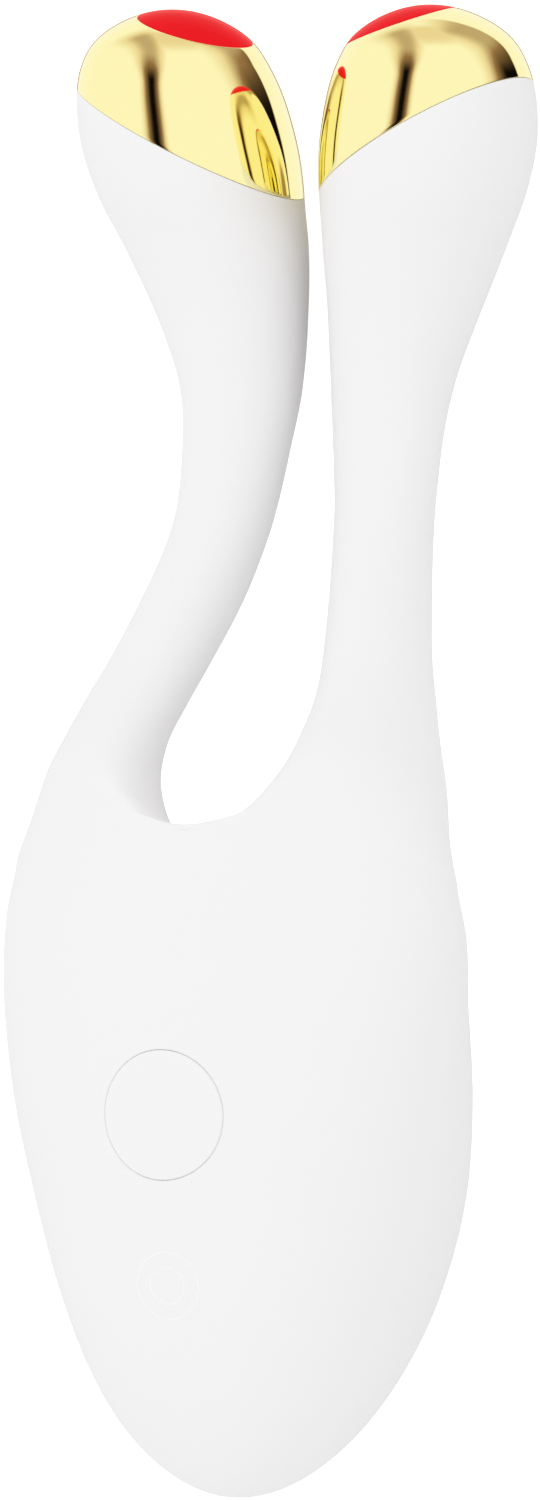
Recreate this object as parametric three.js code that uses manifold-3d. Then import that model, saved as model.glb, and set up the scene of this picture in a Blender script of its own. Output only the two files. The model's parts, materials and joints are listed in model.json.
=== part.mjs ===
// Two-headed face lifting massager: a white silicone skin over a split housing, two curved arms
// that end in gold capped heads with a red light window, and a vibration motor in each head.
// Millimetres. The device lies on its back: X across, Y from the tip to the heads, Z towards the button.
import * as THREE from "three";
import { mergeVertices } from "three/addons/utils/BufferGeometryUtils.js";
import Module from "manifold-3d";

const wasm = await Module();
wasm.setup();

// Overall form
const length = 179.6; // tip to the crown of the heads, along the body
const bodyHalfWidth = 28.4;
const bodyHalfDepth = 24;
const bow = 22.5; // how far the arms swing towards the back
const headRadius = 13;
const spread = 1.323 * headRadius; // from the middle plane to the middle of a head

// Walls and clearances
const fit = 0.3; // between pieces that seat on each other
const skinWall = 1.6;
const shellWall = 1.5;
const overrun = 2; // how far a cutting tool reaches past what it cuts

// Power button, in the middle of the front
const buttonPlace = 0.2617 * length; // from the tip
const buttonRadius = 8;
const buttonGroove = 0.45;
const buttonTravel = 0.5;
const keyFlange = 1.5; // width of the rim that holds the key behind the shell
const keyFlangeHeight = 1.0;
const keyStemRadius = 1.8;
const keyPlay = 0.6; // between the rim and the shell

// Head caps and light windows: planes through the head, sloping down to the inner side
const capPlace = 0.9115 * length; // where the cap's edge crosses the head's middle line, from the tip
const capSlope = 0.53;
const windowPlace = 0.9922 * length;
const windowSlope = 0.32;
const windowLean = 0.11;
const spigotHeight = 0.039 * length; // how far the carrier reaches into the cap

// Vibration motor and rotor, one in each head
const motorFoot = 0.8486 * length; // the motor's lower end, from the tip
const motorRadius = 3.5;
const motorLength = 10.5;
const motorBoss = 0.8;
const motorBossRadius = 1.4;
const shaftRadius = 0.5;
const shaftReach = 4.2; // above the boss
const shaftSeat = 2.5; // inside the can
const weightRadius = 2.7;
const weightLength = 3.2;
const rotorClearance = 0.5;
const weightGrip = 0.12; // between the shaft and the weight pressed on it
const weightHubRadius = 1.2;
const weightOverlap = 0.1; // radians past the half circle

// Light board under each window
const ledSize = 2.4;
const ledHeight = 1.1;
const circuitThickness = 1.0;
const lightBoardRadius = 0.46 * headRadius;

// Arm core, the stiff tube through each arm, and the lead inside it
const coreRadius = 2.7;
const coreBore = 1.5;
const coreFoot = 0.3591 * length; // from the tip
const coreEntry = 7.7; // out from the middle plane, inside the housing
const coreTop = 0.838 * length;
const leadRadius = 0.7;
const leadFoot = 0.3341 * length; // where the leads leave the main board, from the tip
const leadOut = 0.1937 * bodyHalfWidth; // and how far out from the middle plane
const elbowShare = 0.47; // where the core has reached the arm's middle line

// Housing
const housingTop = 0.387 * length; // from the tip
const housingShoulder = 0.2784 * length; // where the dome of the housing starts
const partingBack = 2.0; // the parting plane lies this far behind the tip's line
const bossRadius = 2.6;
const screwRadius = 1.0;
const screwHeadRadius = 1.9;
const screwHeadHeight = 1.3;
const screwLength = 10;
const screwOut = 0.528 * bodyHalfWidth; // screws to each side of the middle plane
const lowerScrews = 0.1225 * length; // from the tip
const upperScrews = 0.3062 * length;
const screwSeat = 4; // from the parting plane to the screw head's seat
const screwRimShare = 0.6; // of a screw head's height, below its crown
const screwCrownShare = 0.7; // of a screw head's radius
const screwPointShare = 0.5; // of the shank's radius

// Main board and what it carries
const boardWidth = 0.775 * bodyHalfWidth;
const boardLength = 0.2339 * length;
const boardThickness = 1.6;
const boardBack = -0.271 * bodyHalfDepth; // the board's front face, behind the tip's line
const boardMiddle = 0.2339 * length; // from the tip
const postRadius = 1.6;
const postInset = 2.4;
const boardScrewRadius = 0.7;
const boardScrewHead = 1.3;
const boardScrewHeadHeight = 0.8;
const boardScrewLength = 5;
const boardTop = boardMiddle + boardLength / 2;
const boardRoom = housingTop - skinWall - fit - shellWall - boardTop;
const leadStraight = 0.9 * boardRoom; // how far a lead runs straight out of what it leaves
const switchSize = 6;
const switchHeight = 3.2;
const plungerRadius = 1.5;
const plungerHeight = 1.4;
const chipSize = 6;
const chipHeight = 1.0;
const chipPlace = 0.1871 * length; // from the tip
const chargeChipWidth = 4.2;
const chargeChipLength = 3;
const chargeChipPlace = 0.1437 * length; // from the tip
const connectorLength = 6;
const connectorDepth = 4;
const connectorHeight = 3;

// Battery
const cellWidth = 0.704 * bodyHalfWidth;
const cellLength = 0.167 * length;
const cellThickness = 8;
const cellMiddle = 0.2339 * length; // from the tip
const cellCorner = 2.5;
const tabDepth = 2; // where the cell's lead leaves it, behind its front
const notchWidth = 5;
const trayWall = 1.2;
const padThickness = 1.5;
const cellRoom = 1.6; // between the board and the cell

// Charging seat, low on the back
const seatPlace = 0.0724 * length; // from the tip
const seatRadius = 6.5;
const seatRecess = 1.5;
const seatThickness = 3.2;
const pinRadius = 1.1;
const pinOut = 2.4;
const magnetRadius = 1.6;
const magnetLength = 1.6;
const magnetOut = 3.7;
const seatSpanShare = 0.05; // of the seat's place, over which the back's slope is taken

// Ends of the lofts
const housingTipShare = 0.25; // of the squared wall over the body's depth
const domeFullness = 2.4;
const domeTopShare = 0.02;
const headTopShare = 0.02; // of the head radius, left at the crown of the space inside

// Resolution
const weld = 1e-4; // points closer than this are one
const tipCrowding = 1.6;
const housingCrowding = 1.3;
const crownCrowding = 1.8;
const lineSteps = 12;
const cornerSteps = 2;
const weightSteps = 5;
const settleSteps = 8;
const around = 24;
const bodyRings = 11;
const armRings = 23;
const housingRings = 9;
const headRings = 8;
const coreSteps = 14;
const coreSides = 8;
const leadSteps = 14;
const leadSides = 6;
const roundSides = 16;
const smallSides = 8;
const screwSides = 8;

const white = new THREE.Color(0.9, 0.89, 0.89);
const finishes = {
  silicone: { color: white, roughness: 0.55, metalness: 0 },
  shell: { color: 0xd9d9d6, roughness: 0.5, metalness: 0 },
  gold: { color: 0xe0bd78, roughness: 0.08, metalness: 1 },
  window: { color: 0xed1c24, roughness: 0.15, metalness: 0 },
  steel: { color: 0xb9bcc0, roughness: 0.3, metalness: 1 },
  circuit: { color: 0x1f6b3a, roughness: 0.5, metalness: 0 },
  black: { color: 0x1d1d1f, roughness: 0.6, metalness: 0 },
  foam: { color: 0x3a3a3c, roughness: 0.95, metalness: 0 },
  cell: { color: 0x8fa3b5, roughness: 0.35, metalness: 0.4 },
  nylon: { color: 0xe9e4d6, roughness: 0.6, metalness: 0 },
  lead: { color: 0xb02a2a, roughness: 0.6, metalness: 0 },
  led: { color: 0xf6efc9, roughness: 0.3, metalness: 0 },
};

// Sections of the form. Each row: place along the length, spine behind the tip's line (shares of the
// bow), lean of the section (turns), then how full the width and the depth are. The arms part at the
// last but one.
const bodyShares = [
  [0.0, 0.0, 0.0, 2.36, 2.79],
  [0.04, 0.05, 0.0, 2.37, 2.81],
  [0.09, 0.11, 0.0, 2.28, 2.77],
  [0.133, 0.145, 0.0, 2.19, 2.67],
  [0.2, 0.14, 0.0, 2.075, 2.3],
  [0.266, 0.045, 0.004, 1.95, 1.893],
  [0.333, -0.055, 0.02, 1.8, 1.47],
  [0.38, -0.08, 0.05, 1.69, 1.15],
  [0.4135, -0.103, 0.076, 1.567, 0.946],
  [0.421, -0.109, 0.077, 1.536, 0.899],
];
const crotchShare = bodyShares.at(-2)[0];
const kneeShare = bodyShares.at(-3)[0];
const freeShare = 0.49; // where the arm's outer side no longer follows the body's oval
const sideDraw = 0.3; // how far the outer side goes back with the inner one at the crotch

// Each row: place along the length, middle of the arm out from the middle plane (shares of the
// spread), spine behind the tip's line (shares of the bow), lean (turns), then as shares of the head
// radius the outer, inner and depth radius, and how far the inner side is drawn to the front.
const armShares = [
  [0.421, 0.335, -0.109, 0.077, 1.734, 0.15, 1.077, 0.2],
  [0.432, 0.56, -0.117, 0.07, 1.405, 0.36, 1.015, 0.33],
  [0.451, 0.82, -0.112, 0.055, 0.996, 0.508, 0.908, 0.42],
  [0.48, 0.971, -0.053, 0.036, 0.685, 0.554, 0.754, 0.34],
  [0.507, 0.971, 0.049, 0.02, 0.554, 0.523, 0.662, 0.23],
  [0.533, 0.919, 0.209, 0.01, 0.5, 0.496, 0.615, 0.115],
  [0.56, 0.837, 0.369, 0, 0.477, 0.473, 0.585, 0.04],
  [0.6, 0.73, 0.587, 0, 0.462, 0.462, 0.562, 0],
  [0.64, 0.645, 0.764, 0, 0.458, 0.458, 0.515, 0],
  [0.667, 0.61, 0.849, 0, 0.469, 0.469, 0.492, 0],
  [0.707, 0.585, 0.924, 0, 0.512, 0.512, 0.508, 0],
  [0.734, 0.581, 0.969, 0, 0.554, 0.554, 0.554, 0],
  [0.76, 0.605, 0.991, 0, 0.612, 0.612, 0.612, 0],
  [0.8, 0.68, 0.996, 0, 0.731, 0.731, 0.731, 0],
  [0.841, 0.773, 0.964, 0, 0.865, 0.865, 0.865, 0],
  [0.867, 0.843, 0.924, 0, 0.946, 0.946, 0.946, 0],
  [0.907, 0.924, 0.876, 0, 1.012, 1.012, 1.012, 0],
  [0.934, 0.965, 0.844, 0, 0.985, 0.985, 0.985, 0],
  [0.961, 0.994, 0.809, 0, 0.885, 0.885, 0.885, 0],
  [0.982, 1, 0.791, 0, 0.685, 0.685, 0.685, 0],
];
const crownShares = [1, 1, 0.778, 0];
const crownFullness = 5.3;

// A smooth curve through one column of a table of rows, by cubic pieces.
function through(rows, column) {
  const slope = (i) => {
    const a = rows[Math.max(i - 1, 0)];
    const b = rows[Math.min(i + 1, rows.length - 1)];
    return (b[column] - a[column]) / (b[0] - a[0]);
  };
  return (share) => {
    const found = rows.findIndex((row) => row[0] >= share);
    const i = found < 0 ? rows.length - 1 : Math.max(found, 1);
    const [a, b] = [rows[i - 1], rows[i]];
    const span = b[0] - a[0];
    const u = (share - a[0]) / span;
    const start = (1 + 2 * u) * (1 - u) ** 2 * a[column] + u * (1 - u) ** 2 * span * slope(i - 1);
    return start + u ** 2 * (3 - 2 * u) * b[column] - u ** 2 * (1 - u) * span * slope(i);
  };
}

const bodyColumns = [1, 2, 3, 4].map((column) => through(bodyShares, column));

// The body's section at a share of the length: round at the tip because it grows with a square root.
function bodySection(share) {
  const [back, lean, width, depth] = bodyColumns.map((curve) => curve(share));
  const growth = Math.sqrt(share);
  return {
    share,
    out: 0,
    back: back * bow,
    lean: lean * 2 * Math.PI,
    outer: width * growth * bodyHalfWidth,
    depth: depth * growth * bodyHalfDepth,
    skew: 0,
  };
}

// The arm's rows in millimetres, after two of the body's, with radii divided by the root that closes
// the crown.
const armRows = (() => {
  const fullness = (radius, share) => radius / Math.sqrt(1 - share);
  const starts = [kneeShare, crotchShare].map((share) => {
    const { back, lean, outer, depth } = bodySection(share);
    return [share, 0, back, lean, fullness(outer, share), 0, fullness(depth, share), 0];
  });
  const rows = armShares.map(([share, out, back, lean, ...radii]) => [
    share,
    out * spread,
    back * bow,
    lean * 2 * Math.PI,
    ...radii.slice(0, 3).map((radius) => fullness(radius * headRadius, share)),
    radii[3] * headRadius,
  ]);
  const crown = crownFullness * headRadius;
  const [end, out, back, lean] = crownShares;
  return [...starts, ...rows, [end, out * spread, back * bow, lean, crown, crown, crown, 0]];
})();
const armColumns = [1, 2, 3, 4, 6, 7].map((column) => through(armRows, column));

// What parts the arms is placed by the root of the share past the crotch, so the gap ends round.
const pastCrotch = (share) => Math.sqrt(Math.max(share - crotchShare, 0));
const partingRows = armRows.slice(1).map(([share, ...values]) => [pastCrotch(share), ...values]);
const partingColumns = [1, 5].map((column) => through(partingRows, column));

function armSection(share) {
  const [middle, back, lean, outer, depth, skew] = armColumns.map((curve) => curve(share));
  const [out, inner] = partingColumns.map((curve) => curve(pastCrotch(share)));
  const closing = Math.sqrt(Math.max(1 - share, 0));
  return {
    share,
    out,
    back,
    lean,
    outer: middle + outer * closing - out,
    inner: inner * closing,
    depth: depth * closing,
    skew,
    freed: THREE.MathUtils.smoothstep(share, crotchShare, freeShare),
  };
}

// How far to the front (1) or the back (-1) a section reaches where a plain oval would reach as far as
// own. Near the crotch the arm's outer side keeps to the body's oval and the inner side starts from it.
function frontReach({ out, outer, inner, freed = 1 }, across, own) {
  if (freed === 1) return own;
  const side = out + outer;
  const top = Math.sqrt(1 - (out / side) ** 2);
  const oval = Math.sign(own) * Math.sqrt(Math.max(1 - ((out + outer * across) / side) ** 2, 0));
  const rounded = own * (top - (out * inner * across) / (side ** 2 * top));
  return THREE.MathUtils.lerp(across < 0 ? rounded : oval, own, freed);
}

// How far a section's inner side is drawn to the front, and its outer side to the back with it.
function drawShare({ freed = 1 }, across) {
  const follow = THREE.MathUtils.lerp(sideDraw, 1, freed);
  return follow * across - (1 - follow) * Math.min(across, 0) ** 2;
}

// A point given by its distance out from the middle plane, behind the tip's line, and from the tip.
const place = (out, back, along) => new THREE.Vector3(out, along, -back);

// A point on a section. Angle 0 is the front, a quarter turn is the outer side. The wall moves it in.
function sectionPoint(section, angle, wall = 0, side = 1) {
  const across = Math.sin(angle);
  const half = across < 0 && section.inner !== undefined ? section.inner : section.outer;
  const out = section.out + (half - wall) * across;
  const reach = frontReach(section, across, Math.cos(angle));
  const rise = -(section.depth - wall) * reach + section.skew * drawShare(section, across);
  return place(
    side * out,
    section.back + rise * Math.cos(section.lean),
    section.share * length - rise * Math.sin(section.lean),
  );
}

const ringAngles = (count) => Array.from({ length: count }, (_, k) => (2 * Math.PI * k) / count);

function bufferOf(points, faces) {
  const geometry = new THREE.BufferGeometry();
  geometry.setAttribute(
    "position",
    new THREE.Float32BufferAttribute(points.flatMap((p) => [p.x, p.y, p.z]), 3),
  );
  geometry.setIndex(faces.flat());
  return geometry;
}

// Two triangles for each step between two rings of point numbers. A left side is mirrored, so turned.
function strip(low, high, mirrored) {
  return low.flatMap((_, k) => {
    const next = (k + 1) % low.length;
    const quad = [
      [low[k], low[next], high[k]],
      [low[next], high[next], high[k]],
    ];
    return mirrored ? quad.map(([a, b, c]) => [a, c, b]) : quad;
  });
}

function fan(ring, pole, mirrored) {
  return ring.map((_, k) => {
    const next = (k + 1) % ring.length;
    return mirrored ? [ring[k], pole, ring[next]] : [ring[k], ring[next], pole];
  });
}

// The whole outer form: the body up to the crotch, whose middle line both arms share, and the arms.
function wholeForm() {
  const points = [];
  const faces = [];
  const add = (point) => points.push(point) - 1;
  const angles = ringAngles(around);
  const half = around / 2;
  const tip = add(place(0, 0, 0));
  let ring = [];
  for (let i = 1; i <= bodyRings; i++) {
    const section = bodySection(crotchShare * (i / bodyRings) ** tipCrowding);
    const next = angles.map((angle) => add(sectionPoint(section, angle)));
    faces.push(...(i === 1 ? fan([...next].reverse(), tip) : strip(ring, next)));
    ring = next;
  }
  const crotch = bodySection(crotchShare);
  const line = angles.map((angle, k) =>
    k > half ? add(sectionPoint({ ...crotch, outer: 0 }, angle)) : undefined,
  );
  for (const side of [1, -1]) {
    const shared = (k) => (side > 0 ? ring[k] : ring[(around - k) % around]);
    let low = angles.map((_, k) => (k <= half ? shared(k) : line[k]));
    for (let i = 1; i < armRings; i++) {
      const along = (1 - Math.cos((Math.PI * i) / armRings)) / 2;
      const section = armSection(crotchShare + (1 - crotchShare) * along);
      const next = angles.map((angle) => add(sectionPoint(section, angle, 0, side)));
      faces.push(...strip(low, next, side < 0));
      low = next;
    }
    const crown = armSection(1);
    const pole = add(place(side * crown.out, crown.back, length));
    faces.push(...fan(low, pole, side < 0));
  }
  return bufferOf(points, faces);
}

// A closed loft inside the form, its wall set in from the outer surface. Scale shrinks a domed end.
function innerLoft(sections, wall, side = 1) {
  const points = [];
  const faces = [];
  const add = (point) => points.push(point) - 1;
  const angles = ringAngles(around);
  let ring = null;
  for (const { section, scale } of sections) {
    const middle = place(side * section.out, section.back, section.share * length);
    const next = angles.map((angle) =>
      add(sectionPoint(section, angle, wall, side).sub(middle).multiplyScalar(scale).add(middle)),
    );
    if (ring) faces.push(...strip(ring, next, side < 0));
    else faces.push(...fan([...next].reverse(), add(middle), side < 0));
    ring = next;
    if (section === sections.at(-1).section) faces.push(...fan(ring, add(middle), side < 0));
  }
  return bufferOf(points, faces);
}

// The housing's space: the body set in by a wall, closed by a dome under the crotch.
function housingForm(wall) {
  const count = housingRings;
  const first = housingTipShare * (wall / bodyHalfDepth) ** 2 + wall / length;
  const last = (housingTop - wall) / length;
  const shoulder = housingShoulder / length;
  const sections = Array.from({ length: count }, (_, i) => {
    const share = first + (last - first) * Math.sin((i / (count - 1)) * (Math.PI / 2)) ** housingCrowding;
    const over = Math.max(share - shoulder, 0) / (last - shoulder);
    const scale = Math.sqrt(Math.max(1 - over ** domeFullness, domeTopShare));
    return { section: bodySection(share), scale };
  });
  return innerLoft(sections, wall);
}

// The space inside a head, set in by a wall, from the top of the neck to the crown.
function headForm(wall, side, foot) {
  const count = headRings;
  const first = foot / length;
  const last = 1 - wall / length;
  const sections = Array.from({ length: count }, (_, i) => {
    const u = i / (count - 1);
    const share = first + (last - first) * (1 - (1 - u) ** crownCrowding);
    const section = armSection(share);
    const raised = armSection(Math.min(1 - ((1 - share) * (1 - first)) / (last - first), 1));
    const radius = i === count - 1 ? wall + headTopShare * headRadius : raised.outer;
    return { section: { ...section, outer: radius, inner: radius, depth: radius }, scale: 1 };
  });
  return innerLoft(sections, wall, side);
}

// Solids
function solid(geometry) {
  const bare = geometry.clone();
  bare.deleteAttribute("normal");
  bare.deleteAttribute("uv");
  const merged = mergeVertices(bare, weld);
  return new wasm.Manifold(
    new wasm.Mesh({
      numProp: 3,
      vertProperties: Float32Array.from(merged.attributes.position.array),
      triVerts: Uint32Array.from(merged.index.array),
    }),
  );
}

function geometryOf(made) {
  const { numProp, vertProperties, triVerts } = made.getMesh();
  const points = [];
  for (let i = 0; i < vertProperties.length; i += numProp) points.push(...vertProperties.slice(i, i + 3));
  const geometry = new THREE.BufferGeometry();
  geometry.setAttribute("position", new THREE.Float32BufferAttribute(points, 3));
  geometry.setIndex([...triVerts]);
  return geometry;
}

const up = new THREE.Vector3(0, 1, 0);
const towards = (direction) => new THREE.Quaternion().setFromUnitVectors(up, direction.clone().normalize());

// Moves a geometry that stands on its own origin along +Y to a point, turned to a direction.
function stand(geometry, point, direction) {
  return geometry.applyQuaternion(towards(direction)).translate(point.x, point.y, point.z);
}

// A round rod that stands on the origin.
function rod(radius, height, sides = roundSides) {
  return new THREE.CylinderGeometry(radius, radius, height, sides).translate(0, height / 2, 0);
}

// A solid of revolution from points given as radius and height.
function turned(profile, count) {
  const points = profile.map(([x, y]) => new THREE.Vector2(x, y));
  return new THREE.LatheGeometry(points, count);
}

// A large block that fills everything past a plane.
function past(point, direction) {
  const size = 2 * length;
  return solid(stand(new THREE.BoxGeometry(size, size, size).translate(0, size / 2, 0), point, direction));
}

function block(width, height, depth) {
  return new THREE.BoxGeometry(width, height, depth);
}

// A plate with rounded corners, lying in XY, its front face at Z = 0 and its body behind.
function plate(width, height, thickness, corner) {
  const [x, y] = [width / 2 - corner, height / 2 - corner];
  const outline = new THREE.Shape();
  outline.absarc(x, y, corner, 0, Math.PI / 2);
  outline.absarc(-x, y, corner, Math.PI / 2, Math.PI);
  outline.absarc(-x, -y, corner, Math.PI, 1.5 * Math.PI);
  outline.absarc(x, -y, corner, 1.5 * Math.PI, 2 * Math.PI);
  const form = { depth: thickness, bevelEnabled: false, curveSegments: cornerSteps };
  return new THREE.ExtrudeGeometry(outline, form).translate(0, 0, -thickness);
}

// A tube along a curve, solid or with a bore.
function tube(curve, radius, bore, steps = coreSteps, sides = coreSides) {
  const outline = new THREE.Shape().absarc(0, 0, radius, 0, 2 * Math.PI);
  if (bore) outline.holes.push(new THREE.Path().absarc(0, 0, bore, 0, 2 * Math.PI, true));
  return new THREE.ExtrudeGeometry(outline, { steps, extrudePath: curve, curveSegments: sides / 2 });
}

const front = new THREE.Vector3(0, 0, 1);
const rearward = new THREE.Vector3(0, 0, -1);
const sides = [
  ["left", -1],
  ["right", 1],
];

const device = new THREE.Group();

function piece(name, geometry, finish, parent = device) {
  const mesh = new THREE.Mesh(geometry, new THREE.MeshStandardMaterial(finishes[finish]));
  mesh.name = name;
  parent.add(mesh);
  return mesh;
}

const form = solid(wholeForm());
const skinSpace = solid(housingForm(skinWall));
const housing = solid(housingForm(skinWall + fit));
const housingSpace = solid(housingForm(skinWall + fit + shellWall));
const headFoot = coreTop - skinWall; // where the space inside a head starts, from the tip
const headSpace = (wall, side) => solid(headForm(wall, side, headFoot + wall - skinWall));
const buttonRoot = place(0, 0, buttonPlace);

// The plane of a cap's edge or of a window's edge: a point on the head's middle line and a normal.
function headPlane(along, slope, lean, side) {
  const normal = new THREE.Vector3(-side * slope, 1, lean).normalize();
  return { side, point: headMiddle(along, side), normal };
}

function headMiddle(along, side) {
  const section = armSection(along / length);
  return place(side * section.out, section.back, along);
}

const raisedBy = ({ point, normal }, height) => point.clone().addScaledVector(normal, height);

// Where a head's middle line crosses the plane raised by a height.
function onMiddle(plane, height) {
  let along = plane.point.y + height;
  for (let i = 0; i < settleSteps; i++) {
    const reached = headMiddle(along, plane.side).sub(plane.point).dot(plane.normal);
    along += (height - reached) / plane.normal.y;
  }
  return headMiddle(along, plane.side);
}

// All that lies past a raised head plane, on that head's side of the device.
function beyond(plane, height) {
  const half = past(new THREE.Vector3(), new THREE.Vector3(plane.side, 0, 0));
  return past(raisedBy(plane, height), plane.normal).intersect(half);
}

// The middle line of an arm from the housing to the head, between two places along the length.
function armLine(side, from, to) {
  const points = Array.from({ length: lineSteps + 1 }, (_, i) => {
    const share = (from + ((to - from) * i) / lineSteps) / length;
    const blend = THREE.MathUtils.smoothstep(share, coreFoot / length, elbowShare);
    const arm = armSection(Math.max(share, crotchShare));
    const body = bodySection(Math.min(share, crotchShare));
    const out = THREE.MathUtils.lerp(coreEntry, Math.max(arm.out, coreEntry), blend);
    return place(side * out, THREE.MathUtils.lerp(body.back, arm.back, blend), share * length);
  });
  return new THREE.CatmullRomCurve3(points);
}

// The charging seat: its place on the back and its outward direction, square to the surface.
const seatFrame = (() => {
  const at = (share) => sectionPoint(bodySection(share), Math.PI);
  const share = seatPlace / length;
  const along = at(share * (1 + seatSpanShare)).sub(at(share * (1 - seatSpanShare)));
  const outward = new THREE.Vector3(0, along.z, -along.y).normalize();
  return { point: at(share).addScaledVector(outward, -seatRecess), outward };
})();

const screwPlaces = [
  ["lower", lowerScrews],
  ["upper", upperScrews],
].flatMap(([level, along]) =>
  sides.map(([side, sign]) => ({ name: `${level}_${side}`, along, out: sign * screwOut })),
);

const boardHoles = [-1, 1].flatMap((y) =>
  sides.map(([side, x]) => ({
    name: `${y < 0 ? "lower" : "upper"}_${side}`,
    out: x * (boardWidth / 2 - postInset),
    along: boardMiddle + y * (boardLength / 2 - postInset),
  })),
);

// A rod cut or stood from a place towards the front or the rear.
function rodAt(radius, height, point, direction, count) {
  return solid(stand(rod(radius, height, count), point, direction));
}

// Cutting the arms' cores out of what they pass through
const channels = sides.map(([, sign]) =>
  solid(tube(armLine(sign, coreFoot - fit, coreTop + fit), coreRadius + fit)),
);

function siliconeSkin() {
  let made = form.subtract(skinSpace);
  for (const [i, [, sign]] of sides.entries()) {
    const cap = headPlane(capPlace, capSlope, 0, sign);
    made = made.subtract(beyond(cap, -fit / 2));
    made = made.subtract(headSpace(skinWall, sign));
    made = made.subtract(channels[i]);
  }
  made = made.subtract(rodAt(buttonRadius + buttonGroove / 2, bodyHalfDepth * 2, buttonRoot, front));
  return made.subtract(seatHole());
}

function seatHole() {
  const depth = seatThickness + overrun;
  const foot = seatFrame.point.clone().addScaledVector(seatFrame.outward, -depth);
  return rodAt(seatRadius + fit, depth + bodyHalfDepth, foot, seatFrame.outward);
}

piece("silicone_skin", geometryOf(siliconeSkin()), "silicone");

// Housing shells, parted by a flat plane, with bosses for the screws and posts for what is inside
const parting = place(0, partingBack, 0);

function shell(direction) {
  let made = housing.subtract(housingSpace);
  for (const { along, out } of screwPlaces) {
    const boss = rodAt(bossRadius, bodyHalfDepth * 2, place(out, partingBack, along), direction, smallSides);
    made = made.add(boss.intersect(housing));
  }
  made = made.intersect(past(parting.clone().addScaledVector(direction, fit / 2), direction));
  for (const channel of channels) made = made.subtract(channel);
  return made;
}

function frontShell() {
  let made = shell(front);
  for (const { out, along } of boardHoles) {
    const foot = place(out, boardBack - fit, along);
    made = made.add(rodAt(postRadius, bodyHalfDepth * 2, foot, front, smallSides).intersect(housing));
    made = made.subtract(rodAt(boardScrewRadius + fit / 2, boardScrewLength, foot, front, smallSides));
  }
  made = made.subtract(rodAt(buttonRadius + fit, bodyHalfDepth * 2, buttonRoot, front));
  for (const { along, out } of screwPlaces) {
    const foot = place(out, partingBack, along);
    made = made.subtract(rodAt(screwRadius + fit / 2, screwLength, foot, front, smallSides));
  }
  return made;
}

function rearShell() {
  let made = shell(rearward);
  for (const { along, out } of screwPlaces) {
    const seat = place(out, partingBack + screwSeat, along);
    const shank = place(out, partingBack - overrun, along);
    made = made.subtract(rodAt(screwHeadRadius + fit, bodyHalfDepth * 2, seat, rearward, smallSides));
    made = made.subtract(rodAt(screwRadius + fit, bodyHalfDepth, shank, rearward, smallSides));
  }
  for (const { out, along } of trayFeet) {
    const foot = place(out, trayBack + fit, along);
    made = made.add(rodAt(postRadius, bodyHalfDepth * 2, foot, rearward, smallSides).intersect(housing));
  }
  return made.subtract(seatHole());
}

// Battery, from front to back: cell, foam pad, tray floor. The tray's rim seats on the board.
const cellFront = boardBack + boardThickness + cellRoom;
const trayFront = boardBack + boardThickness + fit;
const tabBack = cellFront + tabDepth;
const padFront = cellFront + cellThickness + fit;
const trayBack = padFront + padThickness + fit + trayWall;
const trayFeet = [-1, 1].flatMap((y) =>
  [-1, 1].map((x) => ({
    out: x * (cellWidth / 2 - postRadius),
    along: cellMiddle + y * (cellLength / 2 - postRadius * 2),
  })),
);

piece("front_shell", geometryOf(frontShell()), "shell");
piece("rear_shell", geometryOf(rearShell()), "shell");

// A screw as a turned solid: head above the origin, shank below it.
function screw(headRadius, headHeight, shankRadius, shankLength) {
  const profile = [
    [0, -shankLength],
    [shankRadius * screwPointShare, -shankLength],
    [shankRadius, -shankLength + shankRadius],
    [shankRadius, 0],
    [headRadius, 0],
    [headRadius, headHeight * screwRimShare],
    [headRadius * screwCrownShare, headHeight],
    [0, headHeight],
  ];
  return turned(profile, screwSides);
}

for (const { name, along, out } of screwPlaces) {
  const made = screw(screwHeadRadius, screwHeadHeight, screwRadius, screwLength);
  const mesh = piece(`${name}_shell_screw`, made, "steel");
  mesh.position.copy(place(out, partingBack + screwSeat + fit, along));
  mesh.quaternion.copy(towards(rearward));
}

// Power button: a disc of the skin on a key that the front shell holds by its rim
const housingWall = skinWall + fit + shellWall;

function frontInside(along, out) {
  const section = bodySection(along / length);
  const across = out / (section.outer - housingWall);
  return section.back - (section.depth - housingWall) * Math.sqrt(1 - across ** 2);
}
const keyRadius = buttonRadius - fit;
const flangeRadius = keyRadius + keyFlange;
const flangeFront =
  keyPlay +
  Math.max(
    frontInside(buttonPlace, flangeRadius),
    frontInside(buttonPlace - flangeRadius, 0),
    frontInside(buttonPlace + flangeRadius, 0),
  );

const buttonColumn = rodAt(buttonRadius - buttonGroove / 2, bodyHalfDepth * 2, buttonRoot, front);
const buttonDisc = form.intersect(buttonColumn);
piece("button_cap", geometryOf(buttonDisc.subtract(skinSpace)), "silicone");

const switchFront = boardBack - fit - switchHeight;
const plungerFront = switchFront - plungerHeight;

function buttonKey() {
  const overlap = keyFlangeHeight / 2;
  const at = (back) => place(0, back, buttonPlace);
  const stemFoot = plungerFront - fit;
  const stemLength = stemFoot - flangeFront - overlap;
  const crown = rodAt(keyRadius, bodyHalfDepth * 2, at(flangeFront + overlap), front);
  const flange = rodAt(flangeRadius, keyFlangeHeight, at(flangeFront + keyFlangeHeight), front);
  const stem = rodAt(keyStemRadius, stemLength, at(stemFoot), front, smallSides);
  return crown.intersect(housing).add(flange).add(stem);
}
piece("button_key", geometryOf(buttonKey()), "shell");

// Main board, lying across the housing behind the button
const board = new THREE.Group();
board.position.copy(place(0, boardBack, boardMiddle));
device.add(board);

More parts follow.
